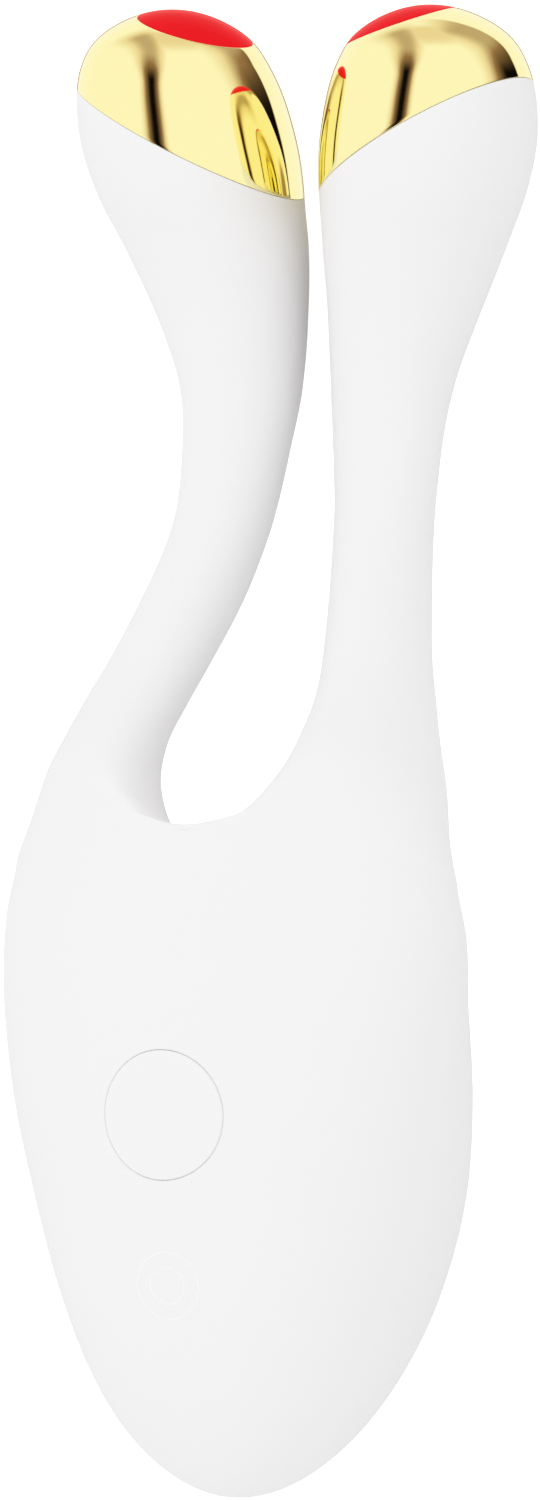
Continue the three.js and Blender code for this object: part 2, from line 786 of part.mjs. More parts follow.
function mainBoard() {
  let made = solid(plate(boardWidth, boardLength, boardThickness, postInset));
  for (const { out, along } of boardHoles) {
    const hole = rod(boardScrewRadius + fit, boardThickness * 3, smallSides).rotateX(Math.PI / 2);
    made = made.subtract(solid(hole.translate(out, along - boardMiddle, -boardThickness * 2)));
  }
  return made;
}
piece("main_board", geometryOf(mainBoard()), "circuit", board);

for (const { name, out, along } of boardHoles) {
  const made = screw(boardScrewHead, boardScrewHeadHeight, boardScrewRadius, boardScrewLength);
  const mesh = piece(`${name}_board_screw`, made, "steel", board);
  mesh.position.set(out, along - boardMiddle, -boardThickness - fit);
  mesh.quaternion.copy(towards(rearward));
}

// A part that stands on the board's front face.
function onBoard(name, geometry, finish, height, along) {
  const mesh = piece(name, geometry, finish, board);
  mesh.position.set(0, along - boardMiddle, fit + height / 2);
  return mesh;
}
const plungerRoom = plungerHeight + buttonTravel + fit;
const switchBore = rod(plungerRadius + fit, switchHeight, smallSides).rotateX(Math.PI / 2);
const switchBody = solid(block(switchSize, switchSize, switchHeight)).subtract(
  solid(switchBore.translate(0, 0, switchHeight / 2 - plungerRoom)),
);
onBoard("switch_body", geometryOf(switchBody), "black", switchHeight, buttonPlace);
const plunger = rod(plungerRadius, plungerHeight * 2, smallSides).rotateX(Math.PI / 2);
const plungerMesh = piece("switch_plunger", plunger, "shell");
plungerMesh.position.copy(place(0, plungerFront + plungerHeight * 2, buttonPlace));
onBoard("control_chip", block(chipSize, chipSize, chipHeight), "black", chipHeight, chipPlace);
const chargeChip = block(chargeChipWidth, chargeChipLength, chipHeight);
onBoard("charge_chip", chargeChip, "black", chipHeight, chargeChipPlace);
const connector = onBoard(
  "battery_connector",
  block(connectorLength, connectorDepth, connectorHeight),
  "nylon",
  connectorHeight,
  boardMiddle + boardLength / 2 - connectorDepth,
);

// Battery
const cell = piece("battery_cell", plate(cellWidth, cellLength, cellThickness, cellCorner), "cell");
cell.position.copy(place(0, cellFront, cellMiddle));
const pad = piece("battery_pad", plate(cellWidth, cellLength, padThickness, cellCorner), "foam");
pad.position.copy(place(0, padFront, cellMiddle));

function batteryTray() {
  const grow = 2 * (fit + trayWall);
  const corner = cellCorner + fit;
  const outer = plate(cellWidth + grow, cellLength + grow, trayBack - trayFront, corner + trayWall);
  const roomDepth = trayBack - trayWall - trayFront + overrun;
  const room = plate(cellWidth + 2 * fit, cellLength + 2 * fit, roomDepth, corner);
  const made = solid(outer).subtract(solid(room.translate(0, 0, overrun)));
  const notchDepth = tabBack + leadRadius + fit - trayFront;
  const notch = block(notchWidth, grow * 2, notchDepth * 2).translate(0, cellLength / 2 + grow / 2, 0);
  return made.subtract(solid(notch));
}
const tray = piece("battery_tray", geometryOf(batteryTray()), "nylon");
tray.position.copy(place(0, trayFront, cellMiddle));

// Charging seat and what it holds, standing along its outward direction
const seat = new THREE.Group();
seat.position.copy(seatFrame.point);
seat.quaternion.copy(towards(seatFrame.outward));
device.add(seat);

function chargeSeat() {
  let made = solid(rod(seatRadius, seatThickness).translate(0, -seatThickness, 0));
  for (const sign of [-1, 1]) {
    const pinHole = rod(pinRadius + fit, seatThickness + 2 * overrun, smallSides);
    made = made.subtract(solid(pinHole.translate(sign * pinOut, -seatThickness - overrun, 0)));
    const pocket = rod(magnetRadius + fit, magnetLength + fit + overrun, smallSides);
    made = made.subtract(solid(pocket.translate(0, -seatThickness - overrun, sign * magnetOut)));
  }
  return made;
}
piece("charge_seat", geometryOf(chargeSeat()), "shell", seat);
for (const [side, sign] of sides) {
  const pin = piece(`${side}_charge_pin`, rod(pinRadius, seatThickness, smallSides), "gold", seat);
  pin.position.set(sign * pinOut, -seatThickness, 0);
}
for (const [level, sign] of [["upper", -1], ["lower", 1]]) {
  const magnet = piece(`${level}_magnet`, rod(magnetRadius, magnetLength, smallSides), "steel", seat);
  magnet.position.set(0, -seatThickness, sign * magnetOut);
}
const chargeBoard = piece("charge_board", rod(seatRadius - fit, circuitThickness), "circuit", seat);
chargeBoard.position.y = -seatThickness - fit - circuitThickness;

// Leads
function lead(name, points) {
  const curve = new THREE.CatmullRomCurve3(points);
  return piece(name, tube(curve, leadRadius, 0, leadSteps, leadSides), "lead");
}
const seatBehind = seatFrame.point
  .clone()
  .addScaledVector(seatFrame.outward, -seatThickness - 2 * fit - circuitThickness);
const boardFoot = boardMiddle - boardLength / 2;
lead("charge_lead", [
  seatBehind,
  seatBehind.clone().addScaledVector(seatFrame.outward, -leadStraight),
  place(0, boardBack + boardThickness / 2 + leadRadius, boardFoot - leadStraight),
  place(0, boardBack + boardThickness / 2, boardFoot - fit),
]);
const cellTop = cellMiddle + cellLength / 2 + fit;
const plug = connector.position.y + boardMiddle + connectorDepth / 2 + fit;
lead("battery_lead", [
  place(0, tabBack, cellTop),
  place(0, tabBack, cellTop + leadStraight),
  place(0, boardBack + boardThickness / 2, boardTop + leadStraight),
  place(0, boardBack - fit - connectorHeight / 2, plug + leadStraight),
  place(0, boardBack - fit - connectorHeight / 2, plug),
]);

// Arms and heads
for (const [i, [side, sign]] of sides.entries()) {
  const line = armLine(sign, coreFoot, coreTop);
  piece(`${side}_arm_core`, tube(line, coreRadius, coreBore), "nylon");

  const cap = headPlane(capPlace, capSlope, 0, sign);
  const pane = headPlane(windowPlace, windowSlope, windowLean, sign);
  const capBody = form.intersect(beyond(cap, fit / 2)).subtract(headSpace(skinWall, sign));
  piece(`${side}_head_cap`, geometryOf(capBody.subtract(beyond(pane, -fit / 2))), "gold");
  piece(`${side}_light_window`, geometryOf(capBody.intersect(beyond(pane, fit / 2))), "window");

  // The frame that the motor and its rotor stand in, along the head's middle line
  const base = headMiddle(motorFoot, sign);
  const axis = headMiddle(capPlace, sign).sub(base).normalize();
  const head = new THREE.Group();
  head.position.copy(base);
  head.quaternion.copy(towards(axis));
  device.add(head);

  const boreFoot = base.clone().addScaledVector(axis, -fit);
  const floorDepth = motorFoot - coreTop + overrun;
  const floor = base.clone().addScaledVector(axis, -floorDepth);
  const leadHole = rodAt(coreBore, floorDepth, floor, axis, smallSides);
  const carrier = headSpace(skinWall + fit, sign)
    .subtract(beyond(cap, spigotHeight))
    .subtract(rodAt(motorRadius + fit, headRadius * 2, boreFoot, axis))
    .subtract(leadHole)
    .subtract(channels[i]);
  piece(`${side}_head_carrier`, geometryOf(carrier), "nylon");

  const shaftFoot = motorLength + motorBoss - shaftSeat;
  const can = [
    [0, 0],
    [motorRadius, 0],
    [motorRadius, motorLength],
    [motorBossRadius, motorLength],
    [motorBossRadius, motorLength + motorBoss],
    [shaftRadius + fit, motorLength + motorBoss],
    [shaftRadius + fit, shaftFoot - fit],
    [0, shaftFoot - fit],
  ];
  piece(`${side}_motor_can`, turned(can, roundSides), "steel", head);
  const shaft = rod(shaftRadius, shaftReach + shaftSeat, smallSides).translate(0, shaftFoot, 0);
  piece(`${side}_motor_shaft`, shaft, "steel", head);

  const weightFoot = motorLength + motorBoss + rotorClearance;
  const outline = new THREE.Shape().absarc(0, 0, weightRadius, -weightOverlap, Math.PI + weightOverlap);
  const slugForm = { depth: weightLength, bevelEnabled: false, curveSegments: weightSteps };
  const slug = new THREE.ExtrudeGeometry(outline, slugForm).rotateX(-Math.PI / 2);
  const weightBore = rod(shaftRadius + weightGrip, weightLength + 2 * overrun, smallSides);
  const weight = solid(slug)
    .add(solid(rod(weightHubRadius, weightLength, smallSides)))
    .subtract(solid(weightBore.translate(0, -overrun, 0)));
  piece(`${side}_motor_weight`, geometryOf(weight), "steel", head).position.y = weightFoot;

  // The light board on the carrier's deck
  const deck = new THREE.Group();
  deck.position.copy(onMiddle(cap, spigotHeight + fit));
  deck.quaternion.copy(towards(cap.normal));
  device.add(deck);
  piece(`${side}_light_board`, rod(lightBoardRadius, circuitThickness), "circuit", deck);
  const led = piece(`${side}_light_led`, block(ledSize, ledHeight, ledSize), "led", deck);
  led.position.y = circuitThickness + fit + ledHeight / 2;

  const top = armLine(sign, coreFoot, coreTop).getSpacedPoints(coreSteps);
  lead(`${side}_arm_lead`, [
    place(sign * leadOut, boardBack + boardThickness + fit, leadFoot),
    place(sign * leadOut, boardBack + boardThickness + leadRadius * 2, leadFoot + leadRadius),
    ...top,
    base.clone().addScaledVector(axis, -fit),
  ]);
}

// The device lies on its back: it turns until its body and its heads both touch the ground, and is
// moved so that the ground's middle under it is the origin.
function layDown() {
  const found = geometryOf(form).attributes.position;
  const vertex = (_, i) => new THREE.Vector3().fromBufferAttribute(found, i);
  const points = Array.from({ length: found.count }, vertex);
  const across = new THREE.Vector3(1, 0, 0);
  const turnedBy = (angle) => points.map((point) => point.clone().applyAxisAngle(across, angle));
  const lowest = (list) => list.reduce((a, b) => (a.z < b.z ? a : b));
  const onBody = (_, i) => points[i].y < length * crotchShare;
  const onArms = (_, i) => !onBody(_, i);
  let turn = 0;
  for (let i = 0; i < settleSteps; i++) {
    const lying = turnedBy(turn);
    const [low, high] = [onBody, onArms].map((kept) => lowest(lying.filter(kept)));
    turn -= Math.atan2(high.z - low.z, high.y - low.y);
  }
  const box = new THREE.Box3().setFromPoints(turnedBy(turn));
  device.rotation.x = turn;
  device.position.set(0, -(box.min.y + box.max.y) / 2, -box.min.z);
}
layDown();

const facialMassager = new THREE.Group();
facialMassager.add(device);
export default facialMassager;
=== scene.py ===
"""Two-headed facial massager: a white silicone skin, gold head caps, red light windows, one button.

The skin is one branched form, lofted from oval sections. All sizes are in metres.
"""

import json
import math

import bpy
import numpy as np
from bpy.props import FloatProperty, FloatVectorProperty, IntProperty, PointerProperty
from mathutils import Matrix, Vector


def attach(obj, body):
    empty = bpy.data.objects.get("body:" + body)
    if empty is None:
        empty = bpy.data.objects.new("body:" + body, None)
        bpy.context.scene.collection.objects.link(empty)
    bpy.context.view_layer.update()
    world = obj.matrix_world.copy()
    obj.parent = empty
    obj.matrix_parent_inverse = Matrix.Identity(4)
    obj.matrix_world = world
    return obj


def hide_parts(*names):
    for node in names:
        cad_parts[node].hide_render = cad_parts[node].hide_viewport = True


bl_info = {
    "name": "Facial Massager",
    "version": (1, 0, 0),
    "blender": (4, 5, 0),
    "location": "View3D > Sidebar > Massager",
    "description": "Builds the outer pieces of a two-headed facial massager and its stage",
    "category": "Object",
}

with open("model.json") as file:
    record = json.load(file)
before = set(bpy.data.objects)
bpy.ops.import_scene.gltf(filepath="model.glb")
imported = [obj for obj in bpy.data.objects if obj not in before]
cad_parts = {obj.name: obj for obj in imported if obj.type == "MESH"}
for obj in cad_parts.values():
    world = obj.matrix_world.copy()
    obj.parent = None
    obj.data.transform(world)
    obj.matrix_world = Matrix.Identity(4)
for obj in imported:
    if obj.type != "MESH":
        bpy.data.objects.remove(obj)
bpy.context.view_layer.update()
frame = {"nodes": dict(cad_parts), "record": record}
record = frame["record"]
charging = next(m for m in record["mounts"] if m["name"] == "charging_face")

# Sections of the handle: share of the length, then the spine behind the tip's line (share of the
# bow), the lean (turns), how full the width and the depth are, and how far the sides are swept back
# (share of the head radius). The arms part at the last but one.
BODY_SECTIONS = np.array([
    [0.0, 0.0, 0.0, 2.36, 2.79, 0.0],
    [0.04, 0.05, 0.0, 2.37, 2.81, 0.0],
    [0.09, 0.11, 0.0, 2.28, 2.77, 0.0],
    [0.133, 0.145, 0.0, 2.19, 2.67, 0.0],
    [0.2, 0.14, 0.0, 2.075, 2.3, 0.0],
    [0.266, 0.045, 0.004, 1.95, 1.893, 0.0],
    [0.333, -0.055, 0.02, 1.8, 1.47, 0.01],
    [0.38, -0.08, 0.05, 1.7, 1.15, 0.06],
    [0.4135, -0.103, 0.076, 1.582, 0.946, 0.12],
    [0.421, -0.109, 0.077, 1.553, 0.899, 0.135],
])
CROTCH = BODY_SECTIONS[-2, 0]
# From the crotch to this share, the arm's own section takes over from the handle's
FREE_ARM = 0.49

# Sections of an arm: share of the length, middle (share of the spread), spine (share of the bow),
# lean (turns), then in shares of the head radius the outer, inner and depth radius, how far the
# inner side is drawn to the front and how far the outer side is swept back.
ARM_SECTIONS = np.array([
    [0.421, 0.335, -0.109, 0.077, 1.758, 0.15, 1.077, 0.2, 0.135],
    [0.432, 0.56, -0.117, 0.07, 1.42, 0.36, 1.015, 0.33, 0.165],
    [0.451, 0.82, -0.112, 0.055, 0.996, 0.508, 0.908, 0.42, 0.215],
    [0.48, 0.971, -0.053, 0.036, 0.685, 0.554, 0.754, 0.34, 0.255],
    [0.507, 0.971, 0.049, 0.02, 0.554, 0.523, 0.662, 0.23, 0.225],
    [0.533, 0.919, 0.209, 0.01, 0.5, 0.496, 0.615, 0.115, 0.115],
    [0.56, 0.837, 0.369, 0, 0.477, 0.473, 0.585, 0.04, 0.04],
    [0.6, 0.73, 0.587, 0, 0.462, 0.462, 0.562, 0, 0],
    [0.64, 0.645, 0.764, 0, 0.458, 0.458, 0.515, 0, 0],
    [0.667, 0.61, 0.849, 0, 0.469, 0.469, 0.492, 0, 0],
    [0.707, 0.585, 0.924, 0, 0.512, 0.512, 0.508, 0, 0],
    [0.734, 0.581, 0.969, 0, 0.554, 0.554, 0.554, 0, 0],
    [0.76, 0.605, 0.991, 0, 0.612, 0.612, 0.612, 0, 0],
    [0.8, 0.68, 0.996, 0, 0.731, 0.731, 0.731, 0, 0],
    [0.841, 0.773, 0.964, 0, 0.865, 0.865, 0.865, 0, 0],
    [0.867, 0.843, 0.924, 0, 0.946, 0.946, 0.946, 0, 0],
    [0.907, 0.924, 0.876, 0, 1.012, 1.012, 1.012, 0, 0],
    [0.934, 0.965, 0.844, 0, 0.985, 0.985, 0.985, 0, 0],
    [0.961, 0.994, 0.809, 0, 0.885, 0.885, 0.885, 0, 0],
    [0.982, 1, 0.791, 0, 0.685, 0.685, 0.685, 0, 0],
])
# The closed end of a head: share, middle, spine and lean as above, and how full it is
CROWN = (1.0, 1.0, 0.778, 0.0)
CROWN_FULLNESS = 5.3

# How closely the rings follow each other near the tip, the crotch and the arms' inner sides
TIP_CROWDING, CROTCH_CROWDING = 1.6, 1.5
INNER_REACH, INNER_CROWDING = 0.35, 0.5
TIP_SHARE = 1e-7

# Faces across a rolled edge and a patch, how soon a patch turns round, and faces of round pieces
ROLL_STEPS, PATCH_STEPS, PATCH_EASE = 5, 9, 1.4
BUTTON_TURNS, BUTTON_RINGS, PRINT_TURNS, DISC_TURNS, BEVEL_STEPS = 120, 25, 96, 96, 4

# How often a place on the surface is looked for, and the step from which a head's planes are
SURFACE_TRIES, PLANE_TRIES, PLANE_START = 30, 40, 0.4

# Small lengths that no property holds
CLOSED = 1e-6
WELD, WINDOW_WELD, MIRROR_WELD = 2e-6, 4e-6, 1e-5
SKIN_ROLL, CAP_ROLL = 0.0001, 0.00008
GROOVE_WALL, BUTTON_WALL = 0.00005, 0.00002
WEB_ROOM, WEB_DEPTH = 0.00004, 0.0003
SEAT_HOLE = {"radius": 0.0067, "roll": 0.0003, "depth": 0.0016}
SEAT = {"radius": 0.0065, "thick": 0.0032, "lip": 0.0009, "step": -0.0003, "roll": 0.00014}
CONTACT = {"radius": 0.0011, "thick": 0.0031, "lip": 0.00025, "step": 0.00015, "roll": 0.00007}
CONTACT_PLACE = 0.0024
PRINT_HALF_WIDTH, PRINT_HEIGHT = 0.00009, 0.00002
FLOOR_GAP = 0.0002

# Rows down the button's side and in across its floor, as shares of the way. A printed ring's
# section, as shares of its half width and height, and the inner ring's share of the outer one.
SIDE_SHARES, FLOOR_SHARES = (0.1, 0.55, 1.0), (1, 0.66, 0.33, CLOSED)
PRINT_SECTION, PRINT_INNER = ((-1, -0.6), (-0.8, 0.7), (0.8, 0.7), (1, -0.6)), 0.55

# Holes in the handle: the room that a patch takes round one (share of its radius), and how far down
# its side of the handle goes. Its surface is looked for from a share and an angle just off the
# middle plane, within these shares, and by no more than these steps at a time.
HOLE_ROOM, SAME_SIDE = 1.32, 0.004
SEAT_SHARE, POLE_ANGLE = 0.072, 1e-3
HOLE_SHARES = (0.002, 0.36)
SHARE_STEP, ANGLE_STEP = 0.02, 0.2

# The floor's faces, the camera's film in millimetres and how far it sees, and the lamp beside the
# device: how far to its right, towards the camera and up, its sides and its power
FLOOR_FACES, FILM, VIEW_END = 12, 36, 20
LAMP_PLACE, LAMP_SIDES, LAMP_POWER = (-1.3, 1.5, 0.5), (1.2, 1.8), 2.5


def metres(name, description, default):
    return FloatProperty(name=name, description=description, default=default, unit="LENGTH")


class MassagerSizes(bpy.types.PropertyGroup):
    """Sizes of the outer form and of its edges."""

    length: metres("Length", "From the tip of the handle to the crown of the heads", 0.17957)
    half_width: metres("Handle half width", "What the handle's widths are shares of", 0.02825)
    half_depth: metres("Handle half depth", "What the handle's depths are shares of", 0.02385)
    bow: metres("Bow", "How far the arms swing towards the back", 0.0225)
    spread: metres("Spread", "From the middle plane to the middle of a head", 0.017199)
    head_radius: metres("Head radius", "What the arms' and heads' radii are shares of", 0.013)
    turn: FloatProperty(
        name="Turn", description="How far the device tips forward when it lies on its back",
        default=0.043092, subtype="ANGLE",
    )
    shift: FloatVectorProperty(
        name="Shift", description="Where the tip lies once the device lies on its back",
        default=(0.0, -0.090079, 0.026442), subtype="TRANSLATION", unit="LENGTH",
    )
    button_place: metres("Button place", "From the tip to the middle of the button", 0.04595)
    button_radius: metres("Button radius", "To the middle of the groove around the button", 0.00775)
    groove: metres("Groove", "Width of the gap around the button", 0.0001)
    groove_roll: metres(
        "Groove rounding", "Radius of the skin's soft edge along the groove", 0.0002
    )
    groove_depth: metres("Groove depth", "Down to the foot of the button's sloping side", 0.00013)
    mark_place: metres("Mark place", "From the tip to the middle of the plain printed rings", 0.026)
    mark_radius: metres("Mark radius", "Of the outer printed ring", 0.004)
    cap_place: metres("Cap place", "Where the cap's edge crosses the head's middle line", 0.163705)
    cap_slope: FloatProperty(
        name="Cap slope", description="Fall of the cap's edge towards the other head", default=0.53
    )
    window_place: metres(
        "Window place", "Where the window's edge crosses the head's middle line", 0.178199
    )
    window_slope: FloatProperty(
        name="Window slope", description="Fall of the window's edge towards the other head",
        default=0.32,
    )
    window_lean: FloatProperty(
        name="Window lean", description="Fall of the window's edge towards the back", default=0.11
    )
    seam: metres("Seam", "Half the gap between skin, cap and window", 0.000015)
    wall: metres("Wall", "Thickness of the skin, the caps and the windows", 0.0007)


class MassagerDetail(bpy.types.PropertyGroup):
    """How finely the pieces are divided."""

    half_around: IntProperty(
        name="Half around", description="Faces along half a section", default=60
    )
    handle_rings: IntProperty(
        name="Handle rings", description="Rings from the tip to the crotch", default=96
    )
    arm_rings: IntProperty(
        name="Arm rings", description="Rings from the crotch to a cap", default=104
    )
    cap_rings: IntProperty(name="Cap rings", description="Rings of a cap", default=44)
    window_rings: IntProperty(name="Window rings", description="Rings of a window", default=22)


class MassagerFinish(bpy.types.PropertyGroup):
    """Colours and grain of the materials."""

    silicone: FloatVectorProperty(
        name="Silicone", description="Colour of the skin and the button",
        default=(0.945, 0.937, 0.943), subtype="COLOR",
    )
    gold: FloatVectorProperty(
        name="Gold", description="Colour of the plated caps and contacts",
        default=(0.99, 0.93, 0.5), subtype="COLOR",
    )
    # The windows' colour is also their painted glow: they give out flat red light of their own
    window: FloatVectorProperty(
        name="Window", description="Colour of the light windows",
        default=(0.847, 0.0116, 0.0178), subtype="COLOR",
    )
    grain: metres("Grain", "Size of the silicone's fine grain", 0.00035)
    polish: FloatProperty(
        name="Polish", description="Roughness of the gold plating", default=0.035, min=0, max=1
    )


class MassagerStage(bpy.types.PropertyGroup):
    """Camera, floor and light."""

    view_turn: FloatProperty(
        name="View turn", description="How far the camera stands round the device's long axis",
        default=math.radians(25), subtype="ANGLE",
    )
    view_distance: metres("View distance", "From the camera to the device", 2.2)
    view_height: metres(
        "View height", "What the frame takes in from top to bottom at the device", 0.18
    )
    view_middle: FloatVectorProperty(
        name="View middle", description="What the camera looks at, in the device's own frame",
        default=(0.00332, 0.08976, -0.00155), subtype="TRANSLATION", unit="LENGTH",
    )
    floor_side: metres("Floor side", "Side of the floor", 6.0)


# The outer form, in the device's own frame: out, along, and up towards the button


def through(rows, column, at):
    """A smooth curve through one column of a table of rows."""
    places, values = rows[:, 0], rows[:, column]
    low = np.maximum(np.arange(len(rows)) - 1, 0)
    high = np.minimum(np.arange(len(rows)) + 1, len(rows) - 1)
    slopes = (values[high] - values[low]) / (places[high] - places[low])
    i = np.clip(np.searchsorted(places, at), 1, len(rows) - 1)
    span = places[i] - places[i - 1]
    u = (at - places[i - 1]) / span
    start = (1 + 2 * u) * (1 - u) ** 2 * values[i - 1] + u * (1 - u) ** 2 * span * slopes[i - 1]
    return start + u**2 * (3 - 2 * u) * values[i] - u**2 * (1 - u) * span * slopes[i]


def past_crotch(share):
    return np.sqrt(np.maximum(share - CROTCH, 0))


def section_points(size, share, x, rise, back, lean):
    """Points of a section that leans about its spine."""
    y = share * size.length - rise * np.sin(lean)
    z = -(back + rise * np.cos(lean))
    return np.stack(np.broadcast_arrays(x, y, z), axis=-1)


def parting_rows(size):
    """The arm's sections from the crotch, placed by the root past it, so that the gap is round."""
    rows = arm_rows(size)[1:]
    rows[:, 0] = past_crotch(rows[:, 0])
    return rows


def handle_points(size, share, angle):
    """Points of the handle. Angle 0 is the front and a quarter turn is the outer side."""
    share = np.asarray(share, dtype=float)
    back, lean, width, depth, sweep = (through(BODY_SECTIONS, c, share) for c in (1, 2, 3, 4, 5))
    growth = np.sqrt(share)
    across = np.sin(angle)
    x = width * growth * size.half_width * across
    rise = sweep * size.head_radius * across**2 - depth * growth * size.half_depth * np.cos(angle)
    return section_points(size, share, x, rise, back * size.bow, lean * 2 * math.pi)


def arm_rows(size):
    """The sections of an arm, in metres, after the handle's two up to the crotch. Their radii are
    divided by the root that closes the crown."""

    def fullness(radius, share):
        return radius / math.sqrt(1 - share)

    def placed(share, out, back, lean):
        return [share, out * size.spread, back * size.bow, lean * 2 * math.pi]

    rows = []
    for share, back, lean, width, depth, sweep in BODY_SECTIONS[-3:-1]:
        growth = math.sqrt(share)
        outer = fullness(width * growth * size.half_width, share)
        front = fullness(depth * growth * size.half_depth, share)
        radii = [outer, 0.0, front, 0.0, sweep * size.head_radius]
        rows.append(placed(share, 0.0, back, lean) + radii)
    for share, out, back, lean, outer, inner, depth, draw, sweep in ARM_SECTIONS:
        radii = [fullness(r * size.head_radius, share) for r in (outer, inner, depth)]
        radii += [draw * size.head_radius, sweep * size.head_radius]
        rows.append(placed(share, out, back, lean) + radii)
    crown = CROWN_FULLNESS * size.head_radius
    rows.append(placed(*CROWN) + [crown, crown, crown, 0, 0])
    return np.array(rows)


def arm_middle(size, share):
    x = through(parting_rows(size), 1, past_crotch(share))
    return np.array([x, share * size.length, -through(arm_rows(size), 2, share)])


def arm_points(size, share, angle):
    """Points of the right arm. What parts the arms goes by the root past the crotch. Near the
    crotch the outer side still follows the handle's oval."""
    share = np.asarray(share, dtype=float)
    rows, parting = arm_rows(size), parting_rows(size)
    root = past_crotch(share)
    closing = np.sqrt(np.maximum(1 - share, 0))
    out = through(parting, 1, root)
    inner = through(parting, 5, root) * closing
    middle, back, lean, outer, depth = (through(rows, c, share) for c in (1, 2, 3, 4, 6))
    drawn, swept = (through(rows, c, share) for c in (7, 8))
    side = middle + outer * closing
    across = np.sin(angle)
    x = out + np.where(across < 0, inner, side - out) * across
    lift = np.cos(angle)
    freed = np.clip((share - CROTCH) / (FREE_ARM - CROTCH), 0, 1)
    freed = freed**2 * (3 - 2 * freed)
    rest = np.where(across < 0, -drawn * (1 - freed), (swept - drawn) * freed)
    shift = drawn * freed * across + rest * across**2 + swept * (1 - freed) * (x / side) ** 2
    if freed.min() < 1:
        top = np.sqrt(1 - (out / side) ** 2)
        rounded = lift * (top - out * (x - out) / (side**2 * top))
        oval = np.sqrt(np.clip(1 - (x / side) ** 2, 0, 1)) * np.sign(lift)
        shared = np.where(across < 0, rounded, oval)
        lift = shared + (lift - shared) * freed
    return section_points(size, share, x, shift - depth * closing * lift, back, lean)


def arm_share(step, angle=0.0):
    """Steps from 0 to 1 crowd towards the crown, and towards the crotch on the inner side."""
    step = np.clip(step, 0, 1)
    outer = np.clip(np.sin(angle), 0, 1) ** 2
    near = np.clip(1 - step / INNER_REACH, 0, 1)
    rooted = np.sin(step * math.pi / 2) ** 2
    return CROTCH + (1 - CROTCH) * (rooted + INNER_CROWDING * outer * step * near**2)


def normals_at(points_at, step, angle):
    """Outward normals of a form given as a function of a step and an angle."""
    small = 1e-4
    along = points_at(step + small, angle) - points_at(step - small, angle)
    round_ = points_at(step, angle + small) - points_at(step, angle - small)
    normal = np.cross(round_, along)
    return normal / np.linalg.norm(normal, axis=-1, keepdims=True)


def head_plane(size, place, slope, lean):
    normal = np.array([-slope, 1.0, lean])
    return arm_middle(size, place / size.length), normal / np.linalg.norm(normal)


def steps_to_plane(size, plane, offset, angle):
    """For each angle, the step at which the right arm's surface crosses a raised plane."""
    point, normal = plane
    low = np.full(angle.shape, PLANE_START)
    high = np.full(angle.shape, 1.0)
    for _ in range(PLANE_TRIES):
        middle = (low + high) / 2
        reached = (arm_points(size, arm_share(middle), angle) - point) @ normal
        low = np.where(reached < offset, middle, low)
        high = np.where(reached < offset, high, middle)
    return (low + high) / 2


def edge_roll(size, plane, side, radius, depth, angle):
    """Rows that roll a head's surface over at a plane and down a wall. Side -1 lies below it."""

    def surface(step, angles):
        return arm_points(size, arm_share(step), angles)

    rows = []
    for turned in np.linspace(0, math.pi / 2, ROLL_STEPS + 1)[1:]:
        reach = side * (size.seam + radius * (1 - math.sin(turned)))
        step = steps_to_plane(size, plane, reach, angle)
        inward = radius * (1 - math.cos(turned))
        rows.append(surface(step, angle) - normals_at(surface, step, angle) * inward)
    step = steps_to_plane(size, plane, side * size.seam, angle)
    rows.append(surface(step, angle) - normals_at(surface, step, angle) * depth)
    return np.array(rows)


def lie(size, points):
    """From the device's own frame to the frame in which it lies on its back."""
    c, s = math.cos(size.turn), math.sin(size.turn)
    x, y, z = points[..., 0], points[..., 1], points[..., 2]
    moved = np.stack([x, y * c - z * s, y * s + z * c], axis=-1)
    return moved + np.array(size.shift)


# Making and finishing meshes


def deselect():
    if bpy.context.object and bpy.context.object.mode != "OBJECT":
        bpy.ops.object.mode_set(mode="OBJECT")
    bpy.ops.object.select_all(action="DESELECT")


def pick(obj):
    deselect()
    obj.select_set(True)
    bpy.context.view_layer.objects.active = obj


def sheet(name, points):
    """A grid whose vertices are moved to rows and columns of points."""
    rows, columns = points.shape[:2]
    deselect()
    bpy.ops.mesh.primitive_grid_add(x_subdivisions=columns - 1, y_subdivisions=rows - 1)
    made = bpy.context.object
    if len(made.data.vertices) != rows * columns:
        raise RuntimeError(f"{name}: the grid has {len(made.data.vertices)} vertices")
    made.name = made.data.name = name
    made.data.vertices.foreach_set("co", points.astype(np.float32).reshape(-1))
    made.data.update()
    made.matrix_world = Matrix()
    return made


def apply_modifier(obj, kind, **values):
    pick(obj)
    modifier = obj.modifiers.new(kind.title(), kind)
    for name, value in values.items():
        setattr(modifier, name, value)
    bpy.ops.object.modifier_apply(modifier=modifier.name)


def join(parts, name, weld=WELD):
    """One closed-up mesh from several that share edges, with its faces pointing out."""
    pick(parts[0])
    for part in parts[1:]:
        part.select_set(True)
    if len(parts) > 1:
        bpy.ops.object.join()
    made = bpy.context.object
    made.name = made.data.name = name
    weld_up(made, weld)
    return made


def weld_up(obj, weld=WELD):
    pick(obj)
    bpy.ops.object.mode_set(mode="EDIT")
    bpy.ops.mesh.select_all(action="SELECT")
    bpy.ops.mesh.remove_doubles(threshold=weld)
    bpy.ops.mesh.normals_make_consistent(inside=False)
    bpy.ops.object.mode_set(mode="OBJECT")
    bpy.ops.object.shade_smooth()


def mirrored_copy(obj, name):
    """The left piece from the right one."""
    pick(obj)
    bpy.ops.object.duplicate()
    made = bpy.context.object
    made.name = made.data.name = name
    made.data.transform(Matrix.Scale(-1, 4, (1, 0, 0)))
    made.data.flip_normals()
    return made


def clothe(obj, material, body, *nodes):
    """Gives a piece its material, the body it rides on and the nodes it stands for."""
    obj.data.materials.clear()
    obj.data.materials.append(material)
    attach(obj, body)
    if nodes:
        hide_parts(*nodes)


# The button's and the charging seat's places on the handle


